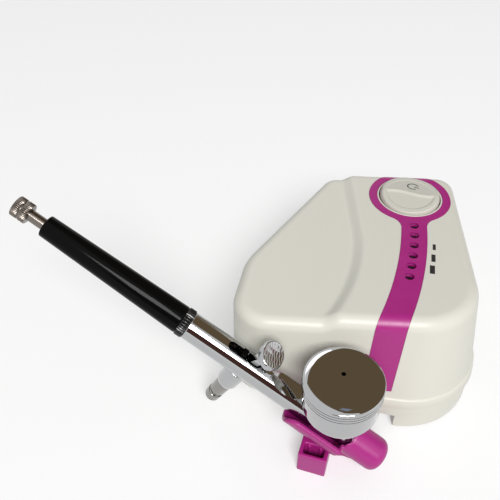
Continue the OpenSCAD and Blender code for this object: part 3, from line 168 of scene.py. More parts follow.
def make_material(name, colour, rough, metallic, spread, mottle, grain=1800.0, bump=0.05, bump_mm=0.02,
                  coat=0.0, stretch=(1, 1, 1), ior=1.5, clear=0.0, level=0.5):
    """Surface with uneven colour, uneven gloss and a fine grain."""
    m = bpy.data.materials.new(name)
    m.use_nodes = True
    nodes, links = m.node_tree.nodes, m.node_tree.links
    shader = nodes["Principled BSDF"]
    where = nodes.new("ShaderNodeTexCoord")
    turn = nodes.new("ShaderNodeMapping")
    turn.inputs["Scale"].default_value = stretch
    links.new(where.outputs["Object"], turn.inputs["Vector"])

    def noise(scale, detail):
        n = nodes.new("ShaderNodeTexNoise")
        n.inputs["Scale"].default_value = scale
        n.inputs["Detail"].default_value = detail
        links.new(turn.outputs["Vector"], n.inputs["Vector"])
        return n.outputs["Fac"]

    tint = nodes.new("ShaderNodeMix")
    tint.data_type = "RGBA"
    tint.inputs["A"].default_value = (*[c * (1 - mottle) for c in colour], 1)
    tint.inputs["B"].default_value = (*[min(c * (1 + mottle), 1) for c in colour], 1)
    links.new(noise(PATCH, 3), tint.inputs["Factor"])
    links.new(tint.outputs["Result"], shader.inputs["Base Color"])
    gloss = nodes.new("ShaderNodeMapRange")
    gloss.inputs["From Min"].default_value = NOISE_LOW
    gloss.inputs["From Max"].default_value = NOISE_HIGH
    gloss.inputs["To Min"].default_value = max(rough - spread, 0.01)
    gloss.inputs["To Max"].default_value = rough + spread
    links.new(noise(PATCH * GLOSS_FINER, 4), gloss.inputs["Value"])
    links.new(gloss.outputs["Result"], shader.inputs["Roughness"])
    relief = nodes.new("ShaderNodeBump")
    relief.inputs["Strength"].default_value = bump
    relief.inputs["Distance"].default_value = bump_mm * MM
    links.new(noise(grain, 2), relief.inputs["Height"])
    links.new(relief.outputs["Normal"], shader.inputs["Normal"])
    for socket, value in (("Metallic", metallic), ("IOR", ior), ("Specular IOR Level", level),
                          ("Coat Weight", coat), ("Coat Roughness", COAT_ROUGH),
                          ("Transmission Weight", clear)):
        shader.inputs[socket].default_value = value
    return m


SHELL = {"grain": 500.0, "bump": 0.02, "level": 0.35}
# colour, roughness, metallic, spread of the gloss, mottling, and what else differs: first the slots
LOOKS = {
    "ivory_plastic": (srgb(217, 215, 204), 0.36, 0, 0.03, 0.008, SHELL),
    "magenta_plastic": (srgb(166, 34, 124), 0.34, 0, 0.05, 0.03, {"bump": 0.1}),
    "chrome_plate": ((0.46, 0.465, 0.47), 0.04, 1, 0.02, 0.01, {"bump": 0.01}),
    "nickel_plate": ((0.44, 0.41, 0.38), 0.16, 1, 0.05, 0.04, {"bump": 0.03}),
    "black_anodised": ((0.003, 0.003, 0.003), 0.09, 0, 0.02, 0.2, {"level": 0.06}),
    "steel": ((0.55, 0.56, 0.58), 0.28, 1, 0.07, 0.05, {"stretch": (1, 1, 12)}),
    "brass_parts": ((0.62, 0.42, 0.14), 0.24, 1, 0.07, 0.08, {}),
    "black_rubber": ((0.018, 0.018, 0.019), 0.75, 0, 0.08, 0.2, {"bump": 0.3}),
    "dark_plastic": ((0.02, 0.02, 0.022), 0.5, 0, 0.08, 0.15, {"bump": 0.2}),
    "pale_plastic": (srgb(216, 214, 206), 0.45, 0, 0.08, 0.03, {"bump": 0.15}),
    "cast_alloy": ((0.42, 0.43, 0.44), 0.42, 1, 0.1, 0.08, {"bump": 0.35, "bump_mm": 0.1}),
    "board_laminate": ((0.01, 0.09, 0.035), 0.35, 0, 0.08, 0.3, {"coat": 0.4}),
    "lens_plastic": ((0.014, 0.008, 0.011), 0.3, 0, 0.04, 0.1, {"level": 0.2}),
    "clear_hose": ((0.8, 0.8, 0.78), 0.3, 0, 0.06, 0.03, {"clear": 0.7, "ior": 1.42}),
    "wire_sleeve": ((0.4, 0.012, 0.012), 0.35, 0, 0.06, 0.1, {}),
    "rotor_iron": ((0.2, 0.13, 0.08), 0.5, 1, 0.1, 0.2, {"stretch": (1, 40, 1)}),
    "dull_chrome": ((0.3, 0.29, 0.27), 0.12, 1, 0.04, 0.05, {"bump": 0.02}),
    "button_ivory": (srgb(205, 203, 192), 0.36, 0, 0.03, 0.008, SHELL),
    "burnished_nickel": ((0.2, 0.175, 0.155), 0.2, 1, 0.05, 0.06, {"bump": 0.03}),
    "ring_black": ((0.006, 0.006, 0.006), 0.18, 0, 0.03, 0.1, {}),
    # black print on the casing, also used as the painted shade in the lid's grooves
    "black_print_and_groove_shade": ((0.012, 0.012, 0.013), 0.5, 0, 0.06, 0.2, {}),
    "print_grey": (srgb(80, 84, 84), 0.5, 0, 0.06, 0.1, {}),
}
MATERIALS = {name: make_material(name, *look[:-1], **look[-1]) for name, look in LOOKS.items()}
for entry in record["subparts"]:
    mesh = frame["nodes"][entry["node"]].data
    mesh.materials.clear()
    mesh.materials.append(MATERIALS[entry["material_slot"]])

# ---- Mesh tools ----
SKIN_NEAR, SKIN_ALIKE = 0.02, 0.9  # mm off the skin, and cosine between face and skin
NEARLY_STRAIGHT, SIDE_SHARE, SOFT_STEPS, LEAST_R = math.radians(86), 0.45, 5, 1e-6
PER_TOOTH, TOOTH_ROUND = 8, 0.7


def clamp(t):
    return min(max(t, 0), 1)


def ease(t):
    """Soft step from 0 to 1."""
    t = clamp(t)
    return t * t * (3 - 2 * t)


def even(low, high, n):
    """n + 1 evenly spaced values from low to high."""
    return [low + (high - low) * k / n for k in range(n + 1)]


def unit(angle):
    return Vector((math.cos(angle), math.sin(angle)))


def hoop_faces(around, per):
    """Faces of a closed hoop of sections with per points each."""
    return [(k * per + i, k * per + (i + 1) % per,
             (k + 1) % around * per + (i + 1) % per, (k + 1) % around * per + i)
            for k in range(around) for i in range(per)]


def tier_faces(tiers, n, first=0):
    """Faces between rings of n points that follow each other."""
    return [(first + k * n + i, first + k * n + (i + 1) % n,
             first + (k + 1) * n + (i + 1) % n, first + (k + 1) * n + i)
            for k in range(tiers - 1) for i in range(n)]


def button_faces(around, per):
    """Faces of columns of points round an axis, closed by point 0 above and point 1 below."""
    faces = []
    for k in range(around):
        a, b = 2 + k * per, 2 + (k + 1) % around * per
        faces += [(0, a, b), (1, b + per - 1, a + per - 1)]
        faces += [(a + i, a + i + 1, b + i + 1, b + i) for i in range(per - 1)]
    return faces


def weld(mesh, near, outwards):
    """Joins points that lie together and, if asked, turns the faces outwards."""
    bm = bmesh.new()
    bm.from_mesh(mesh)
    bmesh.ops.remove_doubles(bm, verts=bm.verts, dist=near)
    if outwards:
        bmesh.ops.recalc_face_normals(bm, faces=bm.faces)
    bm.to_mesh(mesh)
    bm.free()


def new_object(name, verts, faces, place):
    """Closed mesh from points in mm, with its normals outwards."""
    mesh = bpy.data.meshes.new(name)
    mesh.from_pydata([(place @ Vector(v)) * MM for v in verts], [], faces)
    weld(mesh, 1e-7, True)
    obj = bpy.data.objects.new(name, mesh)
    scene.collection.objects.link(obj)
    return obj


def evaluated(obj):
    """New mesh of obj with its modifiers, which are then gone."""
    made = bpy.data.meshes.new_from_object(obj.evaluated_get(bpy.context.evaluated_depsgraph_get()))
    obj.modifiers.clear()
    return made


def combine(obj, tool, operation="DIFFERENCE"):
    """Applies a boolean with tool, which is then gone. The mesh that obj had stays as it was."""
    for solver in ("MANIFOLD", "EXACT"):
        m = obj.modifiers.new("cut", "BOOLEAN")
        m.operation, m.object, m.solver = operation, tool, solver
        made = evaluated(obj)
        if len(made.vertices) > 3:
            break
    else:
        raise RuntimeError("empty boolean on " + obj.name)
    made.name = obj.name
    obj.data = made
    bpy.data.objects.remove(tool)
    return obj


def join(obj, *others):
    """Adds the others' meshes to obj as further shells."""
    bm = bmesh.new()
    for o in (obj, *others):
        bm.from_mesh(o.data)
    bm.to_mesh(obj.data)
    bm.free()
    for o in others:
        bpy.data.objects.remove(o)
    return obj


def dress(obj, slot, body, nodes=(), angle=34, weighted=False, look=None):
    """Smooth shading, finish, body and the nodes that obj stands for."""
    obj.data.materials.clear()
    obj.data.materials.append(MATERIALS[look or slot])
    for p in obj.data.polygons:
        p.material_index = 0
    obj.data.shade_smooth()
    obj.data.set_sharp_from_angle(angle=math.radians(angle))
    if weighted:
        m = obj.modifiers.new("even shading", "WEIGHTED_NORMAL")
        m.keep_sharp = True
    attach(obj, body)
    if nodes:
        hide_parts(*nodes)
    return obj


def even_normals(obj, uncut):
    """Shades obj like the uncut skin wherever it still lies on it, so cuts leave no marks."""
    mesh = obj.data
    tree = BVHTree.FromPolygons([v.co for v in uncut.vertices], [tuple(p.vertices) for p in uncut.polygons])
    normals = [n.vector.copy() for n in mesh.corner_normals]
    for face in mesh.polygons:
        for k in face.loop_indices:
            on_skin, _, i, off = tree.find_nearest(mesh.vertices[mesh.loops[k].vertex_index].co)
            corners = [uncut.vertices[c] for c in uncut.polygons[i].vertices]
            shares = poly_3d_calc([c.co for c in corners], on_skin)
            smooth = sum((c.normal * share for c, share in zip(corners, shares)), Vector()).normalized()
            if off < SKIN_NEAR * MM and smooth.dot(face.normal) > SKIN_ALIKE:
                normals[k] = smooth
    mesh.normals_split_custom_set(normals)


def soft(points, radius):
    """The closed profile with its corners rounded, as far as its sides allow."""
    points = [Vector(p) for p in points]
    out = []
    for i, p in enumerate(points):
        a, b = points[i - 1] - p, points[(i + 1) % len(points)] - p
        half = a.angle(b) / 2 if a.length and b.length else QUARTER
        if half > NEARLY_STRAIGHT or p.x == 0:
            out.append(p)
            continue
        back = min(radius / math.tan(half), SIDE_SHARE * a.length, SIDE_SHARE * b.length)
        r = back * math.tan(half)
        a.normalize()
        b.normalize()
        centre = p + (a + b).normalized() * (r / math.sin(half))
        first, last = (p + a * back - centre).normalized(), (p + b * back - centre).normalized()
        for k in range(SOFT_STEPS + 1):
            out.append(centre + r * first.slerp(last, k / SOFT_STEPS) if r > LEAST_R else p)
    return [(q.x, q.y) for q in out]


def turned(name, profile, place, along="z", steps=128):
    """Closed profile of radius and height turned about z or x."""
    verts = []
    for k in range(steps):
        c, s = math.cos(FULL * k / steps), math.sin(FULL * k / steps)
        verts += [(h, r * c, r * s) if along == "x" else (r * c, r * s, h) for r, h in profile]
    return new_object(name, verts, hoop_faces(steps, len(profile)), place)


def rod(name, r, low, high, place, along="z", steps=64):
    return turned(name, [(0, low), (r, low), (r, high), (0, high)], place, along, steps)


def knurled(name, r, low, high, teeth, depth, bore=0.0, chamfer=0.35):
    """Ring along the airbrush with rounded straight teeth and chamfered ends."""
    steps = teeth * PER_TOOTH
    levels = [(low, chamfer), (low + chamfer, 0), (high - chamfer, 0), (high, chamfer)]
    verts = []
    for k in range(steps):
        a = FULL * k / steps
        tooth = 0.5 + 0.5 * math.cos(teeth * a)
        section = [(h, r - max(depth * (1 - tooth ** TOOTH_ROUND), back)) for h, back in levels]
        section += [(high, bore), (low, bore)]
        verts += [(h, q * math.cos(a), q * math.sin(a)) for h, q in section]
    return new_object(name, verts, hoop_faces(steps, len(levels) + 2), AIRBRUSH)


def prism(name, outline, low, high, place):
    """Upright solid over an outline in plan."""
    n = len(outline)
    verts = [(x, y, z) for z in (low, high) for x, y in outline]
    faces = [tuple(range(n - 1, -1, -1)), tuple(range(n, 2 * n))] + tier_faces(2, n)
    return new_object(name, verts, faces, place)


def block(name, low, high, place):
    """Box between two corners."""
    outline = [(low[0], low[1]), (high[0], low[1]), (high[0], high[1]), (low[0], high[1])]
    return prism(name, outline, low[2], high[2], place)


# ---- Casing skin ----
SAMPLE_GAP, LEAST_ON_ARC, LEAST_ON_RUN = 1.25, 10, 4
SKIN_CENTRE, SHOULDER_BELOW, LEAST_SHOULDER = Vector((6, 8)), 2, 0.6


def corner(i):
    return CORNERS[i % len(CORNERS)]


def corner_r(i, z):
    """Radius of corner i at height z."""
    r, draft, draw_in = corner(i)[2:]
    return (r - draft * max(z - SEAM_Z, 0) / (COVER_TOP - SEAM_Z) -
            draw_in * max(BEND_Z - z, 0) / (BEND_Z - FLOOR_Z))


def run_from(i):
    """Way from corner i to the next one."""
    return Vector(corner(i + 1)[:2]) - Vector(corner(i)[:2])


def leave(i, z):
    """Direction of the outward normal on the run from corner i to the next one."""
    d = run_from(i)
    return math.atan2(d.y, d.x) - QUARTER + math.asin((corner_r(i, z) - corner_r(i + 1, z)) / d.length)


def outline_samples(spacing):
    """(corner, on its arc, share of it) all the way round, about that far apart."""
    out = []
    for i in range(len(CORNERS)):
        sweep = (leave(i, SEAM_Z) - leave(i - 1, SEAM_Z)) % FULL
        n = max(round(sweep * corner_r(i, SEAM_Z) / spacing), LEAST_ON_ARC)
        out += [(i, True, k / n) for k in range(n)]
        n = max(round(run_from(i).length / spacing), LEAST_ON_RUN)
        out += [(i, False, k / n) for k in range(n)]
    return out


SAMPLES = outline_samples(SAMPLE_GAP)


def on_outline(sample, z, inset):
    """Point of the casing's outline at height z, that far inside it."""
    i, on_arc, share = sample

    def at(j, angle):
        r = corner_r(j, z) - inset
        c = corner(j)
        return Vector((c[0] + r * math.cos(angle), c[1] + r * math.sin(angle)))

    if on_arc:
        start = leave(i - 1, z)
        return at(i, start + share * ((leave(i, z) - start) % FULL))
    angle = leave(i, z)
    return at(i, angle).lerp(at(i + 1, angle), share)


def top_height(p):
    """Height of the top: the lower panel on the left, the soft slope, the raised right half."""
    if p.y < CREASE_Y:
        s = math.hypot(p.x - CREASE_X + CREASE_R, p.y - CREASE_Y) - CREASE_R
    else:
        s = p.x - CREASE_X
    return COVER_TOP - PANEL_STEP * (1 - ease(s / SLOPE_W + 0.5))


def skin_rings(inset, foot, sides, arcs, tops):
    """Rings of points up the casing from the foot's levels, over the shoulder and in to the centre."""
    r = max(SHOULDER_R - inset, LEAST_SHOULDER)
    edge = [on_outline(s, COVER_TOP - SHOULDER_BELOW, inset + r) for s in SAMPLES]
    top = [top_height(p) - inset for p in edge]
    rings = [[(*on_outline(s, z, i), z) for s in SAMPLES] for z, i in foot]
    low = foot[-1][0]

    def ring_at(heights, inward):
        return [(*on_outline(s, z, inward), z) for s, z in zip(SAMPLES, heights)]

    for k in range(1, sides + 1):
        rings.append(ring_at([low + (t - r - low) * k / sides for t in top], inset))
    for a in even(0, QUARTER, arcs)[1:]:
        rings.append(ring_at([t - r + r * math.sin(a) for t in top], inset + r * (1 - math.cos(a))))
    rim = [Vector(p[:2]) for p in rings[-1]]
    for k in range(1, tops):
        inner = [p.lerp(SKIN_CENTRE, k / tops) for p in rim]
        rings.append([(*q, top_height(q) - inset) for q in inner])
    return rings, (*SKIN_CENTRE, top_height(SKIN_CENTRE) - inset)


def skin_solid(name, outer, inner=None):
    """Closed solid from the rings of an outer skin, hollow if an inner one is given."""
    verts, faces, starts = [], [], []
    n = len(SAMPLES)
    for rings, centre in [outer] + ([inner] if inner else []):
        first = len(verts)
        starts.append(first)
        verts += [p for ring in rings for p in ring] + [centre]
        faces += tier_faces(len(rings), n, first)
        last = first + (len(rings) - 1) * n
        faces += [(last + i, last + (i + 1) % n, len(verts) - 1) for i in range(n)]
    if inner:
        faces += [(starts[0] + (i + 1) % n, starts[0] + i, starts[1] + i, starts[1] + (i + 1) % n)
                  for i in range(n)]
    else:
        faces.append(tuple(range(n - 1, -1, -1)))
    return new_object(name, verts, faces, CASE)


def skin(name, inset, foot_z, tops, arcs):
    return skin_solid(name, skin_rings(inset, [(foot_z, inset)], sides=10, arcs=arcs, tops=tops))


def stack(name, levels):
    """Solid through the casing's outline at levels of height and inset."""
    n = len(SAMPLES)
    verts = [(*on_outline(s, z, inset), z) for z, inset in levels for s in SAMPLES]
    faces = tier_faces(len(levels), n)
    faces += [tuple(range(n - 1, -1, -1)), tuple(range((len(levels) - 1) * n, len(levels) * n))]
    return new_object(name, verts, faces, CASE)


# ---- Trim plan: ring, swept stripe, short rear stripe and the fillets between them ----
# cutters reach past what they cut
COLUMN_TOP, CUT_TOP, CUT_LOW, AIR_REACH, INLET_REACH = 2 * COVER_TOP, 3 * COVER_TOP, -1, (44, 90), (50, 70)
ROUND, HOLE, SWEEP, CURVE = 128, 48, 64, 20  # steps in wells, small holes, the stripe and its fillets
FINE, COARSE = {"tops": 60, "arcs": 14}, {"tops": 30, "arcs": 6}  # steps in skins that show and that don't


def crossing(a, ra, b, rb):
    """Where circles about a and b cross, left of the way from a to b."""
    d = (b - a).length
    u = (b - a) / d
    along = (ra * ra - rb * rb + d * d) / (2 * d)
    return a + along * u + math.sqrt(ra * ra - along * along) * Vector((-u.y, u.x))


def toward(a, b, r):
    return a + r * (b - a).normalized()


def arc_points(centre, start, end):
    """Points on the shorter arc about centre from start to end."""
    a, b = start - centre, end - centre
    t0 = math.atan2(a.y, a.x)
    sweep = (math.atan2(b.y, b.x) - t0 + math.pi) % FULL - math.pi
    return [centre + a.length * unit(t0 + sweep * k / CURVE) for k in range(CURVE + 1)]


def circle(centre, r, steps=192):
    return [(centre.x + r * math.cos(FULL * k / steps), centre.y + r * math.sin(FULL * k / steps))
            for k in range(steps)]


def strip_column(name, grow):
    """Upright prism of the trim's plan, grown by that much all round."""
    ring, f, half = RING_R + grow, STRIP_FILLET - grow, STRIP_W / 2 + grow
    inner, outer = STRIP_ARC_R - STRIP_W / 2 - grow, STRIP_ARC_R + STRIP_W / 2 + grow
    ends = [math.asin((y - STRIP_CENTRE.y) / STRIP_ARC_R) for y in (STRIP_START, STRIP_FRONT_Y)]
    sweep = even(*ends, SWEEP)
    outlines = [circle(DIAL, ring),
                [STRIP_CENTRE + inner * unit(a) for a in sweep] +
                [STRIP_CENTRE + outer * unit(a) for a in reversed(sweep)],
                [DIAL + Vector(p) for p in ((-half, 0), (half, 0), (half, CASE_REAR), (-half, CASE_REAR))]]
    for hand in (-1, 1):
        edge_r = STRIP_ARC_R + hand * half
        inside = edge_r - hand * LIP_W
        centre = crossing(DIAL, ring + f, STRIP_CENTRE, edge_r + hand * f)
        outlines.append([crossing(DIAL, ring - LIP_W, STRIP_CENTRE, inside),
                         toward(STRIP_CENTRE, centre, inside)] +
                        arc_points(centre, toward(STRIP_CENTRE, centre, edge_r), toward(DIAL, centre, ring)) +
                        [toward(DIAL, centre, ring - LIP_W)])
        rise = math.sqrt((ring + f) ** 2 - (half + f) ** 2)
        centre = DIAL + Vector((hand * (half + f), rise))
        outlines.append([DIAL + Vector((0, ring / 2)), DIAL + Vector((0, rise))] +
                        arc_points(centre, DIAL + Vector((hand * half, rise)), toward(DIAL, centre, ring)))
    column, *others = [prism(name, o, STRIP_END_Z - grow, COLUMN_TOP, CASE) for o in outlines]
    for other in others:
        combine(column, other, "UNION")
    return column


def led_at(i):
    start = math.asin((DIAL.y - RING_R - LED_START - STRIP_CENTRE.y) / STRIP_ARC_R)
    return STRIP_CENTRE + STRIP_ARC_R * unit(start - i * LED_PITCH / STRIP_ARC_R)


def drill_leds(obj):
    for i in range(LED_COUNT):
        combine(obj, rod("hole", LED_HOLE_R, BAND_TOP, COLUMN_TOP, upright(led_at(i)), steps=HOLE))


# ---- Cover: hollow skin with the trim's recess, button well, lens holes and the outlet's hole ----
# height and inset of the levels at its foot: a band with both edges rounded
cover_foot = [(SEAM_Z, -BAND_PROUD + 0.35), (SEAM_Z + 0.1, -BAND_PROUD + 0.1), (SEAM_Z + 0.35, -BAND_PROUD),
              (BAND_TOP - 0.7, -BAND_PROUD), (BAND_TOP - 0.3, -BAND_PROUD + 0.15), (BAND_TOP - 0.1, -0.2),
              (BAND_TOP, 0)]
cover = skin_solid("cover_skin", skin_rings(0, cover_foot, sides=16, **FINE),
                   skin_rings(WALL, [(SEAM_Z, WALL)], sides=3, arcs=3, tops=12))
uncut_cover = cover.data
recess = strip_column("recess", FIT / 2)
combine(recess, skin("floor_skin", STRIP_DEPTH + FIT / 2, SEAM_Z - 1, **COARSE))
combine(recess, rod("middle", WELL_R + LIP_W, 0, CUT_TOP, upright(DIAL), steps=ROUND))
combine(cover, recess)
combine(cover, rod("well", WELL_R, WELL_Z, COLUMN_TOP, upright(DIAL), steps=ROUND))
drill_leds(cover)
combine(cover, rod("air_hole", OUTLET_R + OUTLET_FIT, *AIR_REACH, rearward(AIR_X, AIR_Z)))
lip_low, lip_top = COVER_TOP - WALL, COVER_TOP + STRIP_PROUD
lip = turned("lip", soft([(WELL_R, lip_low), (WELL_R + LIP_W, lip_low), (WELL_R + LIP_W, lip_top),
                          (WELL_R, lip_top)], LIP_ROUND), upright(DIAL))
well = turned("well_wall", [(WELL_R, WELL_Z), (WELL_R + WELL_WALL, WELL_Z), (WELL_R + WELL_WALL, lip_low),
                            (WELL_R, lip_low)], upright(DIAL))
dress(join(cover, lip, well), "ivory_plastic", "compressor", ["top_cover"])
even_normals(cover, uncut_cover)
# the walls of the lens holes take the trim's colour
cover.data.materials.append(MATERIALS["magenta_plastic"])
lens_axes = [(upright(led_at(i)).translation * MM).xy for i in range(LED_COUNT)]
for face in cover.data.polygons:
    if min((face.center.xy - p).length for p in lens_axes) < (LED_HOLE_R + FIT / 2) * MM:
        face.material_index = 1

trim = strip_column("trim_skin", -FIT / 2)
proud = skin("proud_skin", -STRIP_PROUD, SEAM_Z, **FINE)
uncut_trim = proud.data
combine(trim, proud, "INTERSECT")
combine(trim, skin("under_skin", STRIP_DEPTH, SEAM_Z - 1, **COARSE))
combine(trim, rod("middle", WELL_R + LIP_W + FIT, 0, CUT_TOP, upright(DIAL), steps=ROUND))
drill_leds(trim)
dress(trim, "magenta_plastic", "compressor", ["accent_strip"])
even_normals(trim, uncut_trim)

# ---- Base tray with its rounded lower edge, notch, holes for screws, feet and the inlet ----
# height and inset of its levels: rounded lower edge, soft bend, rounded upper edge, then down inside
tray = stack("tray_skin", [
    (FLOOR_Z, 0.9), (FLOOR_Z + 0.12, 0.45), (FLOOR_Z + 0.45, 0.12), (FLOOR_Z + 0.9, 0),
    (BEND_Z - 2, 0), (BEND_Z - 0.7, 0.05), (BEND_Z, 0.15), (BEND_Z + 0.7, 0.05),
    (SEAM_Z - 0.4, 0), (SEAM_Z - 0.1, 0.1), (SEAM_Z, 0.4),
    (SEAM_Z, WALL), (BEND_Z, WALL), (FLOOR_TOP + 1, WALL), (FLOOR_TOP, WALL + 1)])
lining = block("lining", (NOTCH_LOW[0] - WALL, LINING_FRONT, FLOOR_Z), [v + WALL for v in NOTCH_HIGH], CASE)
combine(lining, stack("lining_limit", [(z, WALL / 2) for z in (FLOOR_Z - 1, BEND_Z, SEAM_Z)]), "INTERSECT")
combine(tray, lining, "UNION")
combine(tray, block("notch", NOTCH_LOW, NOTCH_HIGH, CASE))
for at in [upright(Vector(p)) for p in BOSSES]:
    combine(tray, rod("boss", BOSS_R, BOSS_LOW, BOSS_TOP, at, steps=HOLE), "UNION")
    combine(tray, rod("screw_hole", SCREW_HOLE_R, CUT_LOW, SCREW_HOLE_TOP, at, steps=HOLE))
for p in FEET:
    combine(tray, rod("foot_recess", FOOT_RECESS_R, CUT_LOW, FOOT_TOP, upright(Vector(p)), steps=HOLE))
combine(tray, rod("inlet_hole", INLET_HOLE_R, *INLET_REACH, rearward(INLET_X, INLET_Z), steps=HOLE))
dress(tray, "ivory_plastic", "compressor", ["base_tray"], weighted=True)

foot_profile = soft([(0, 0), (FOOT_R, 0), (FOOT_R, FOOT_TOP), (0, FOOT_TOP)], FOOT_ROUND)
feet = [turned("foot_%d" % i, foot_profile, upright(Vector(p)), steps=64) for i, p in enumerate(FEET)]
dress(join(*feet), "black_rubber", "compressor", ["rubber_feet"])

# ---- Indicator lenses, level bars ----
lens_profile = [(LED_R * math.sin(a), LENS_TOP - LENS_DOME + LENS_DOME * math.cos(a))
                for a in even(0, QUARTER, 10)] + [(LED_R, LENS_FOOT), (0, LENS_FOOT)]
lenses = [turned("lens_%d" % i, lens_profile, upright(led_at(i)), steps=HOLE) for i in range(LED_COUNT)]
dress(join(*lenses), "lens_plastic", "compressor", ["status_leds"])

# x, y, length and width of the printed bars, which all lie at one angle
BARS = ((33.0, -2.9, 3.9, 1.35), (31.1, -10.2, 4.8, 1.8), (29.1, -17.5, 5.3, 2.2))
BAR_TURN, BAR_RISE, BAR_SUNK = math.radians(78), 0.04, 0.1
for i, (x, y, length, width) in enumerate(BARS):
    c, s, w, d = math.cos(BAR_TURN), math.sin(BAR_TURN), length / 2, width / 2
    outline = [(x + c * u - s * v, y + s * u + c * v) for u, v in ((-w, -d), (w, -d), (w, d), (-w, d))]
    dress(prism("level_bar_%d" % (i + 1), outline, COVER_TOP - BAR_SUNK, COVER_TOP + BAR_RISE, CASE),
          "dark_plastic", "compressor", look="black_print_and_groove_shade")

# ---- Rocker: two faces falling from a soft crest, rounded edge, power symbol ----
CREST_WAVE, CREST_SOFT, CREST_H, CREST_W = 1.2, 0.3, 0.3, 0.8
DISH_DEPTH, DISH_EDGE, EDGE_BLEND = 0.45, 1.3, 0.5
BUTTON_AROUND, BUTTON_RINGS, BUTTON_EDGE_RINGS = 160, 60, 12


def rocker_top(x, y):
    """Height of the rocker's face, with its soft edge blended in."""
    rho = math.hypot(x, y)
    crest = COVER_TOP + BUTTON_RISE
    off = y + CREST_WAVE * math.sin(math.pi * x / BUTTON_R)
    face = crest - BUTTON_FALL * (math.hypot(off, CREST_SOFT) - CREST_SOFT) / BUTTON_R
    inward = ease((BUTTON_R - BUTTON_ROUND - rho) / DISH_EDGE)
    face += CREST_H * inward * (math.exp(-(off / CREST_W) ** 2) - 1)
    face -= DISH_DEPTH * inward * ease((-off - CREST_W / 2) / DISH_EDGE)
    e = clamp((rho - BUTTON_R + BUTTON_ROUND) / BUTTON_ROUND)
    turn_z = COVER_TOP + STRIP_PROUD
    edge = turn_z + (crest - turn_z) * math.sqrt(1 - e * e)
    h = clamp(0.5 + 0.5 * (edge - face) / EDGE_BLEND)
    return edge * (1 - h) + face * h - EDGE_BLEND * h * (1 - h)


def rocker_skin():
    radii = even(0, BUTTON_R - BUTTON_ROUND, BUTTON_RINGS)[1:]
    radii += [BUTTON_R - BUTTON_ROUND + BUTTON_ROUND * math.sin(a)
              for a in even(0, QUARTER, BUTTON_EDGE_RINGS)[1:]]
    verts = [(0, 0, rocker_top(0, 0)), (0, 0, BUTTON_FOOT)]
    for k in range(BUTTON_AROUND):
        a = FULL * k / BUTTON_AROUND
        column = [(q * math.cos(a), q * math.sin(a)) for q in radii]
        verts += [(x, y, rocker_top(x, y)) for x, y in column] + [(*column[-1], BUTTON_FOOT)]
    return new_object("rocker_skin", verts, button_faces(BUTTON_AROUND, len(radii) + 1), ROCKER)


dress(rocker_skin(), "ivory_plastic", "rocker", ["rocker_button"], look="button_ivory")

SYMBOL_AT, SYMBOL_R, SYMBOL_LINE, SYMBOL_RISE, SYMBOL_SUNK = Vector((1.3, 5.8)), 2.6, 0.65, 0.05, 0.15
# degrees between which the arc runs, then the stroke's direction, start and length
ARC_FROM, ARC_TO, STROKE_WAY, STROKE_START, STROKE_L = 18, 302, unit(math.radians(-20)), 0.7, 2.4


def print_line(name, path):
    """Raised print along a path on the rocker."""
    n = len(path)
    verts, faces = [], []
    for i, p in enumerate(path):
        d = (path[min(i + 1, n - 1)] - path[max(i - 1, 0)]).normalized()
        side = Vector((-d.y, d.x)) * SYMBOL_LINE / 2
        for q in (p + side, p - side):
            z = rocker_top(q.x, q.y)
            verts += [(q.x, q.y, z + SYMBOL_RISE), (q.x, q.y, z - SYMBOL_SUNK)]
    for a in range(0, 4 * n - 4, 4):
        b = a + 4
        faces += [(a, b, b + 2, a + 2), (a + 1, a + 3, b + 3, b + 1),
                  (a, a + 1, b + 1, b), (a + 2, b + 2, b + 3, a + 3)]
    faces += [(0, 2, 3, 1), (4 * n - 4, 4 * n - 3, 4 * n - 1, 4 * n - 2)]
    return new_object(name, verts, faces, ROCKER)


symbol_arc = [SYMBOL_AT + SYMBOL_R * unit(math.radians(d)) for d in even(ARC_FROM, ARC_TO, 40)]
stroke = [SYMBOL_AT + (STROKE_START + STROKE_L * k / 6) * STROKE_WAY for k in range(7)]
dress(join(print_line("power_symbol", symbol_arc), print_line("stroke", stroke)), "dark_plastic", "rocker",
      look="print_grey")

# ---- Airbrush tube with its chamber, trigger slot, valve bore and scooped top ----
body_profile = [(0, 0), (TUBE_R - TUBE_EDGE, 0), (TUBE_R, TUBE_EDGE)]
body_profile += [(TUBE_R, x) for x in range(2, int(HEAD_X), 2)]
body_profile += [(TUBE_R, HEAD_X), (TUBE_R - HEAD_STEP, HEAD_X + 1), (HEAD_TIP_R, HEAD_END), (0, HEAD_END)]
tube = turned("airbrush_tube", soft(body_profile, TUBE_ROUND), AIRBRUSH, "x", steps=160)
half_turn = even(0, math.pi, 24)
slot_line = [(TRIGGER_X + SLOT_FRONT + SLOT_R * math.sin(a), -SLOT_R * math.cos(a)) for a in half_turn]
slot_line += [(TRIGGER_X - SLOT_BACK - SLOT_R * math.sin(a), SLOT_R * math.cos(a)) for a in half_turn]
combine(tube, rod("chamber", CHAMBER_R, CUT_LOW, CHAMBER_X, AIRBRUSH, "x", steps=96))
combine(tube, prism("slot", slot_line, 0, 2 * TUBE_R, AIRBRUSH))
combine(tube, rod("valve_bore", VALVE_BORE_R, 0, 2 * TUBE_R, VALVE))
SCOOP = (AIRBRUSH @ Matrix.Translation((SCOOP_X, 0, TUBE_R + SCOOP_R - SCOOP_DEPTH)) @
         Matrix.Rotation(QUARTER, 4, "X"))
combine(tube, rod("scoop", SCOOP_R, -SCOOP_SIDE, SCOOP_SIDE, SCOOP, steps=360))
dress(tube, "chrome_plate", "airbrush", ["airbrush_body"], angle=28)


# ---- Paint cup and its lid ----
def cup_fillet(r):
    """Quarter round of that radius at the foot of the cup's wall."""
    return [(CUP_R - CUP_FILLET + r * math.sin(a), CUP_FLOOR + CUP_FILLET - r * math.cos(a))
            for a in even(0, QUARTER, 18)]


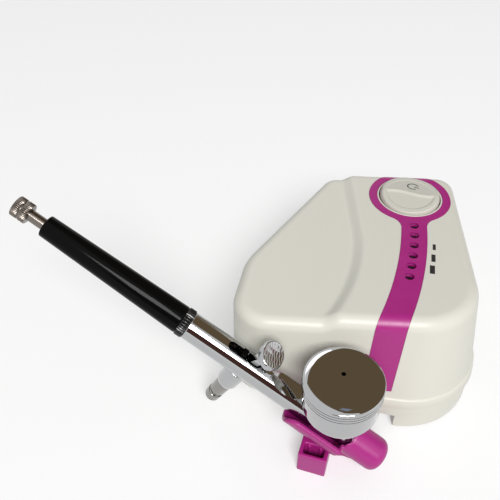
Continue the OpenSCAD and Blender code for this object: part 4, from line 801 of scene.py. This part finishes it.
cup_inside = CUP_R - CUP_WALL
cup_profile = [(CUP_BORE_R, CUP_SEAT - STEM_L), (STEM_R, CUP_SEAT - STEM_L),
               (STEM_R, CUP_SEAT + CUP_CONE - STEM_FLARE), (STEM_R + STEM_FLARE, CUP_SEAT + CUP_CONE)]
cup_profile += cup_fillet(CUP_FILLET)
cup_profile += [(CUP_R, CUP_RIM - RIM_EDGE), (CUP_R - RIM_EDGE, CUP_RIM), (cup_inside + RIM_EDGE, CUP_RIM),
                (cup_inside, CUP_RIM - RIM_EDGE)]
cup_profile += cup_fillet(CUP_FILLET - CUP_WALL)[::-1] + [(CUP_BORE_R, CUP_SEAT + CUP_CONE)]
dress(turned("cup_skin", cup_profile, CUP, steps=160), "chrome_plate", "airbrush", ["paint_cup"])

LID_AROUND, CROWN_STEPS, CROWN_FROM, CROWN_CURVE, EDGE_STRETCH = 192, 48, 45, 6, 1.08
# painted shade: dark rings in the lid's grooves stand in for the shade inside them; how far their face sits
# inside the lid's edge, their gap to the groove walls, and how far they reach behind the groove floor
GROOVE_SHADE_SUNK, GROOVE_SHADE_GAP, GROOVE_SHADE_BEHIND = 0.08, 0.02, 0.1
lid_z = CUP_RIM + LID_TOP
skirt_z = lid_z - LID_SKIRT
grooves = [skirt_z + GROOVE_LOW + GROOVE_PITCH * i for i in range(GROOVE_COUNT)]
lid_profile = [(CUP_R + LID_FIT, skirt_z), (LID_R - RIM_EDGE, skirt_z), (LID_R, skirt_z + RIM_EDGE)]
for z in grooves:
    lid_profile += [(LID_R, z), (LID_R - GROOVE_DEPTH, z), (LID_R - GROOVE_DEPTH, z + GROOVE_W),
                    (LID_R, z + GROOVE_W)]
lid_profile += [(LID_R - LID_EDGE + LID_EDGE * math.cos(a),
                 lid_z - LID_EDGE + LID_EDGE * math.sin(a) * EDGE_STRETCH) for a in even(0, QUARTER, 8)[:-1]]
lid_profile += [(LID_R * k / CROWN_STEPS, lid_z + LID_CROWN * (1 - (k / CROWN_STEPS) ** CROWN_CURVE))
                for k in range(CROWN_FROM, -1, -1)]
lid_profile += [(0, CUP_RIM), (CUP_R + LID_FIT, CUP_RIM)]
lid = turned("lid_skin", lid_profile, CUP, steps=LID_AROUND)
combine(lid, rod("vent", VENT_R, CUP_RIM - 1, lid_z + 3, CUP @ Matrix.Translation(VENT_AT), steps=40))
dress(lid, "chrome_plate", "lid", ["cup_lid"], angle=30)
# painted shade: a dark ring sunk in each groove of the lid
groove_shades = []
for i, z in enumerate(grooves):
    back, front = LID_R - GROOVE_DEPTH - GROOVE_SHADE_BEHIND, LID_R - GROOVE_SHADE_SUNK
    low, high = z + GROOVE_SHADE_GAP, z + GROOVE_W - GROOVE_SHADE_GAP
    groove_shades.append(turned("groove_%d" % i, [(back, low), (front, low), (front, high), (back, high)], CUP,
                        steps=LID_AROUND))
dress(join(*groove_shades), "dark_plastic", "lid", look="black_print_and_groove_shade")

# ---- Valve casing, hose nipple, handle with its ring, travel knob ----
valve_profile = [(VALVE_BORE_R, VALVE_TOP), (VALVE_R, VALVE_TOP), *VALVE_TAPER, (NIPPLE_R, VALVE_END),
                 (VALVE_BORE_R, VALVE_END)]
dress(turned("valve_skin", soft(valve_profile, VALVE_ROUND), VALVE), "chrome_plate", "airbrush",
      ["valve_casing"])
tip_r = NIPPLE_END - NIPPLE_TIP
nipple_profile = [(NIPPLE_BORE_R, VALVE_END), (NIPPLE_R, VALVE_END), *NIPPLE_GROOVE]
nipple_tip = [(NIPPLE_R - tip_r * (1 - math.cos(a)), NIPPLE_TIP + tip_r * math.sin(a))
              for a in even(0, QUARTER, 12)[:-1]] + [(NIPPLE_BORE_R, NIPPLE_END)]
dress(turned("nipple_skin", soft(nipple_profile, NIPPLE_ROUND) + nipple_tip, VALVE), "chrome_plate",
      "airbrush", ["hose_nipple"], look="dull_chrome")
dress(knurled("ring_skin", GRIP_RING_R, -GRIP_RING_L, 0, RING_TEETH, RING_TOOTH, SOCKET_R), "black_anodised",
      "airbrush", ["handle_ring"], angle=50, look="ring_black")
handle_profile = [(SOCKET_R, -GRIP_RING_L), (HANDLE_FRONT_R, -GRIP_RING_L), (HANDLE_TAIL_R, -HANDLE_END),
                  *HANDLE_BORE]
dress(turned("handle_skin", soft(handle_profile, HANDLE_ROUND), AIRBRUSH, "x"), "black_anodised", "airbrush",
      ["handle"])
band = (KNOB_END - KNOB_X - KNOB_GROOVE) / 2
core_r, core_front, core_back = KNOB_R - KNOB_CORE_IN, -KNOB_X - KNOB_CORE_IN, -KNOB_END + KNOB_CORE_IN
knob = join(knurled("knob_skin", KNOB_R, -KNOB_X - band, -KNOB_X, **KNURL),
            knurled("knob_tail", KNOB_R, -KNOB_END, -KNOB_END + band, **KNURL),
            turned("knob_core", [(0, core_back), (core_r, core_back), (core_r, core_front),
                                 (KNOB_NECK_R, core_front), (KNOB_NECK_R, -KNOB_NECK_END),
                                 (0, -KNOB_NECK_END)], AIRBRUSH, "x"))
dress(knob, "nickel_plate", "knob", ["travel_knob"], angle=50, look="burnished_nickel")

# ---- Trigger: dished oval plate with wavy cross ridges, stem and fork ----
PLATE_DISH, DISH_REACH, RIM_FROM, RIM_W, RIM_DROP = 0.5, 0.81, 0.84, 0.16, 1.5
RIDGE_X, RIDGE_Y, RIDGE_PITCH, RIDGE_H, RIDGE_WAVE, RIDGE_WAVE_TURN = 0.88, 0.47, 1.2, 0.05, 0.16, 2.1
RIDGE_FROM, RIDGE_FADE, RIDGE_EDGE, RIDGE_EDGE_FADE = -4.4, 0.8, 0.95, 0.08
PLATE_AROUND, PLATE_RINGS, PLATE_FLAT = 160, 60, 0.86
PLATE_UNDER = ((1, 1.0), (0.95, 0.35), (0.8, 0))  # share of the oval and height of its lower edge


def plate_top(x, y):
    """Height of the finger plate: soft rim, dish, ridges over all but its rear end."""
    q = math.hypot(x / (PLATE_W / 2), y / (PLATE_L / 2))
    h = TRIGGER_TOP - PLATE_DISH * max(1 - q * q / DISH_REACH, 0)
    e = clamp((q - RIM_FROM) / RIM_W)
    h -= RIM_DROP * (1 - math.sqrt(1 - e * e))
    ridged = clamp((x - RIDGE_FROM) / RIDGE_FADE) * clamp((RIDGE_EDGE - q) / RIDGE_EDGE_FADE)
    along = RIDGE_X * x + RIDGE_Y * y + RIDGE_WAVE * math.sin(RIDGE_WAVE_TURN * y)
    return h + RIDGE_H * ridged * math.sin(FULL * along / RIDGE_PITCH)


def trigger_plate(low):
    shares = even(0, PLATE_FLAT, PLATE_RINGS)[1:]
    shares += [RIM_FROM + RIM_W * math.sin(a) for a in even(0, QUARTER, 10)[2:]]
    verts = [(0, 0, plate_top(0, 0)), (0, 0, low)]
    for k in range(PLATE_AROUND):
        a = FULL * k / PLATE_AROUND
        x, y = PLATE_W / 2 * math.cos(a), PLATE_L / 2 * math.sin(a)
        verts += [(q * x, q * y, plate_top(q * x, q * y)) for q in shares]
        verts += [(q * x, q * y, low + h) for q, h in PLATE_UNDER]
    faces = button_faces(PLATE_AROUND, len(shares) + len(PLATE_UNDER))
    return new_object("trigger_skin", verts, faces, TRIGGER)


plate_low, fork_side, foot = TRIGGER_TOP - PLATE_T, FORK_W / 2, FORK_FOOT_R
neck_low = plate_low - NECK_L
neck_profile = [(0, neck_low), (fork_side, neck_low)]
neck_profile += [(fork_side + NECK_FLARE * (k / 10) ** NECK_CURVE, neck_low + NECK_L * k / 10)
                 for k in range(1, 11)]
neck = turned("neck", neck_profile + [(0, plate_low)], TRIGGER, steps=64)
stem = block("stem", (-foot, -fork_side, FORK_TOP), (foot, fork_side, plate_low - NECK_L / 2), TRIGGER)
arm_line = [(foot * math.cos(a), -foot * math.sin(a)) for a in half_turn]
arm_line += [(-foot, FORK_TOP), (foot, FORK_TOP)]
arm_plane, arm_t = TRIGGER @ Matrix.Rotation(QUARTER, 4, "X"), (FORK_W - FORK_GAP) / 2
arms = [prism("arm", arm_line, y, y + arm_t, arm_plane) for y in (-fork_side, FORK_GAP / 2)]
dress(join(trigger_plate(plate_low), neck, stem, *arms), "chrome_plate", "finger_trigger", ["trigger"],
      angle=40)

# ---- Holder: the solid's own form with its edges rounded ----
HOLDER_VOXEL, HOLDER_SMOOTH, HOLDER_ROUNDS = 0.0003, 0.5, 34
holder = bpy.data.objects.new("holder_skin", frame["nodes"]["airbrush_holder"].data.copy())
scene.collection.objects.link(holder)
weld(holder.data, 1e-6, False)
remesh = holder.modifiers.new("remesh", "REMESH")
remesh.mode, remesh.voxel_size = "VOXEL", HOLDER_VOXEL
smooth = holder.modifiers.new("round", "SMOOTH")
smooth.factor, smooth.iterations = HOLDER_SMOOTH, HOLDER_ROUNDS
holder.data = evaluated(holder)
dress(holder, "magenta_plastic", "holder", ["airbrush_holder"], angle=60)

# ---- Outlet: hexagon and pipe thread ----
THREAD_AROUND, THREAD_PER_MM, THREAD_CHAMFER, THREAD_RUNOUT = 72, 10, 0.5, 0.1
NUT_DOME_R, NUT_FACE_R, NUT_CHAMFER = 9, 6.2, 1.3


def threaded(name, r, length, bore, place):
    """Pipe thread that ends at height 0."""
    levels = round(length * THREAD_PER_MM)
    verts = []
    for k in range(THREAD_AROUND):
        c, s = math.cos(FULL * k / THREAD_AROUND), math.sin(FULL * k / THREAD_AROUND)
        for h in even(-length, 0, levels):
            turn = (h / THREAD_PITCH - k / THREAD_AROUND) % 1
            cut = THREAD_DEPTH * (1 - abs(2 * turn - 1)) * clamp(-h / THREAD_RUNOUT)
            q = r - max(cut, THREAD_CHAMFER + h)
            verts.append((q * c, q * s, h))
        verts += [(bore * c, bore * s, 0), (bore * c, bore * s, -length)]
    return new_object(name, verts, hoop_faces(THREAD_AROUND, levels + 3), place)


outlet_mount = next(m for m in record["mounts"] if m["name"] == "air_outlet")
outlet_end = Vector(outlet_mount["pos_m"]) / MM + Vector((0, OUTLET_L / 2, 0))
OUTLET = Matrix.Translation(outlet_end) @ Matrix.Rotation(-QUARTER, 4, "X")
nut_low = -OUTLET_L - OUTLET_NUT_H
thread = threaded("outlet_skin", OUTLET_R, OUTLET_L, OUTLET_BORE_R, OUTLET)
hexagon = [(OUTLET_NUT_R * math.cos(math.pi * k / 3), OUTLET_NUT_R * math.sin(math.pi * k / 3))
           for k in range(6)]
nut = prism("nut", hexagon, nut_low, -OUTLET_L, OUTLET)
combine(nut, turned("dome", [(0, nut_low - 1), (NUT_DOME_R, nut_low - 1),
                             (NUT_DOME_R, -OUTLET_L - NUT_CHAMFER), (NUT_FACE_R, -OUTLET_L), (0, -OUTLET_L)],
                    OUTLET), "INTERSECT")
tail = rod("inner", OUTLET_R, nut_low - OUTLET_TAIL, nut_low, OUTLET)
dress(join(thread, nut, tail), "nickel_plate", "compressor", ["outlet_fitting"], angle=40)

# ---- Stage: floor, cards that only reflections see, light, world, camera, in metres ----
MIDDLE = (0, 0, 0.04)
FLOOR_SIZE, FLOOR_GREY, FLOOR_LIFT = 8, 0.6, 0.4
FILL_LEVEL, SEEN_LEVEL = 0.24, 0.96  # how strongly the world lights, and how bright it shows
EDGE_BLACK = (0.004, 0.004, 0.004)
# name, place, width, depth and colour
CARDS = (("brown_card", (0.6, 0.45, 1.0), 1.6, 1.5, (0.19, 0.135, 0.076)),
         ("sky_card", (0.14, 0.22, 1.15), 0.09, 0.09, (0.34, 0.38, 0.5)),
         ("brown_wall", (1.0, 1.0, 0.25), 1.2, 0.5, (0.26, 0.2, 0.13)),
         ("dark_card", (-0.08, -1.25, 0.42), 0.95, 0.66, (0.1, 0.045, 0.036)),
         ("upper_edge", (-0.08, -1.22, 0.74), 0.95, 0.05, EDGE_BLACK),
         ("lower_edge", (-0.08, -1.22, 0.1), 0.95, 0.04, EDGE_BLACK))
# name, place, size and watts
LAMPS = (("key", (0.25, -2.1, 2.1), (1.3, 1.1), 82.0),
         ("right", (1.29, -0.48, 0.81), (0.8, 0.8), 0.8),
         ("window", (-0.23, 1.0, 1.1), (0.7, 0.36), 1.2))
# in mm from the middle of the case, and degrees below level
CAMERA_AT, CAMERA_DOWN = Vector((-50, -218, 255)), 42
FOCAL_PX, FRAME_PX, SENSOR_W, CLIP_START, RENDER_PX = 640, 500, 36.0, 0.01, 1000


def blank(name):
    m = bpy.data.materials.new(name)
    m.use_nodes = True
    m.node_tree.nodes.clear()
    return m, m.node_tree.nodes, m.node_tree.links, m.node_tree.nodes.new("ShaderNodeOutputMaterial")


def shown(nodes, links):
    """1 for rays from the camera, a mirror or glass."""
    path = nodes.new("ShaderNodeLightPath")
    total = path.outputs["Is Camera Ray"]
    for kind in ("Is Glossy Ray", "Is Transmission Ray"):
        either = nodes.new("ShaderNodeMath")
        either.operation = "MAXIMUM"
        links.new(total, either.inputs[0])
        links.new(path.outputs[kind], either.inputs[1])
        total = either.outputs["Value"]
    return total


def pick_shown(nodes, links, out, lights, shows):
    """Surface that lights the scene as one shader and shows as another."""
    pick = nodes.new("ShaderNodeMixShader")
    links.new(shown(nodes, links), pick.inputs["Fac"])
    links.new(lights, pick.inputs[1])
    links.new(shows, pick.inputs[2])
    links.new(pick.outputs["Shader"], out.inputs["Surface"])


def floor_material():
    """Matt floor that shows whiter than it lights, with the shadow kept."""
    m, nodes, links, out = blank("floor_white")
    matt, glow = nodes.new("ShaderNodeBsdfDiffuse"), nodes.new("ShaderNodeEmission")
    both = nodes.new("ShaderNodeAddShader")
    matt.inputs["Color"].default_value = (FLOOR_GREY, FLOOR_GREY, FLOOR_GREY, 1)
    glow.inputs["Strength"].default_value = FLOOR_LIFT
    links.new(matt.outputs["BSDF"], both.inputs[0])
    links.new(glow.outputs["Emission"], both.inputs[1])
    pick_shown(nodes, links, out, matt.outputs["BSDF"], both.outputs["Shader"])
    return m


def glowing(name, colour):
    m, nodes, links, out = blank(name)
    glow = nodes.new("ShaderNodeEmission")
    glow.inputs["Color"].default_value = (*colour, 1)
    links.new(glow.outputs["Emission"], out.inputs["Surface"])
    return m


def put(name, data, place, facing=None):
    """Object at that place, with its axis named by facing towards the middle."""
    obj = bpy.data.objects.new(name, data)
    scene.collection.objects.link(obj)
    obj.location = place
    if facing:
        obj.rotation_euler = (Vector(MIDDLE) - Vector(place)).to_track_quat(facing, "Y").to_euler()
    return obj


def sheet_of(name, centre, width, depth, facing, material):
    mesh = bpy.data.meshes.new(name)
    w, d = width / 2, depth / 2
    mesh.from_pydata([(-w, -d, 0), (w, -d, 0), (w, d, 0), (-w, d, 0)], [], [(0, 1, 2, 3)])
    mesh.materials.append(material)
    obj = put(name, mesh, centre, facing)
    return obj


sheet_of("floor", (0, 0, 0), FLOOR_SIZE, FLOOR_SIZE, None, floor_material())
for name, centre, width, depth, colour in CARDS:
    card = sheet_of(name, centre, width, depth, "Z", glowing(name, colour))
    card.visible_camera = card.visible_diffuse = card.visible_shadow = False
    card.visible_transmission = False
for name, place, size, watts in LAMPS:
    light = bpy.data.lights.new(name, "AREA")
    light.shape, light.size, light.size_y, light.energy = "RECTANGLE", *size, watts
    put(name, light, place, "-Z")

world = bpy.data.worlds.new("studio")
scene.world = world
world.use_nodes = True
nodes, links = world.node_tree.nodes, world.node_tree.links
nodes.clear()
out = nodes.new("ShaderNodeOutputWorld")
backgrounds = []
for level in (FILL_LEVEL, SEEN_LEVEL):
    background = nodes.new("ShaderNodeBackground")
    background.inputs["Color"].default_value = (1, 1, 1, 1)
    background.inputs["Strength"].default_value = level
    backgrounds.append(background.outputs["Background"])
pick_shown(nodes, links, out, *backgrounds)

camera = bpy.data.cameras.new("photo_camera")
camera.lens, camera.sensor_width, camera.clip_start = SENSOR_W * FOCAL_PX / FRAME_PX, SENSOR_W, CLIP_START
camera_object = put("photo_camera", camera, (CASE @ CAMERA_AT) * MM)
camera_object.rotation_euler = (math.radians(90 - CAMERA_DOWN), 0, 0)
scene.camera = camera_object
scene.render.resolution_x = scene.render.resolution_y = RENDER_PX
scene.view_settings.view_transform = "Standard"
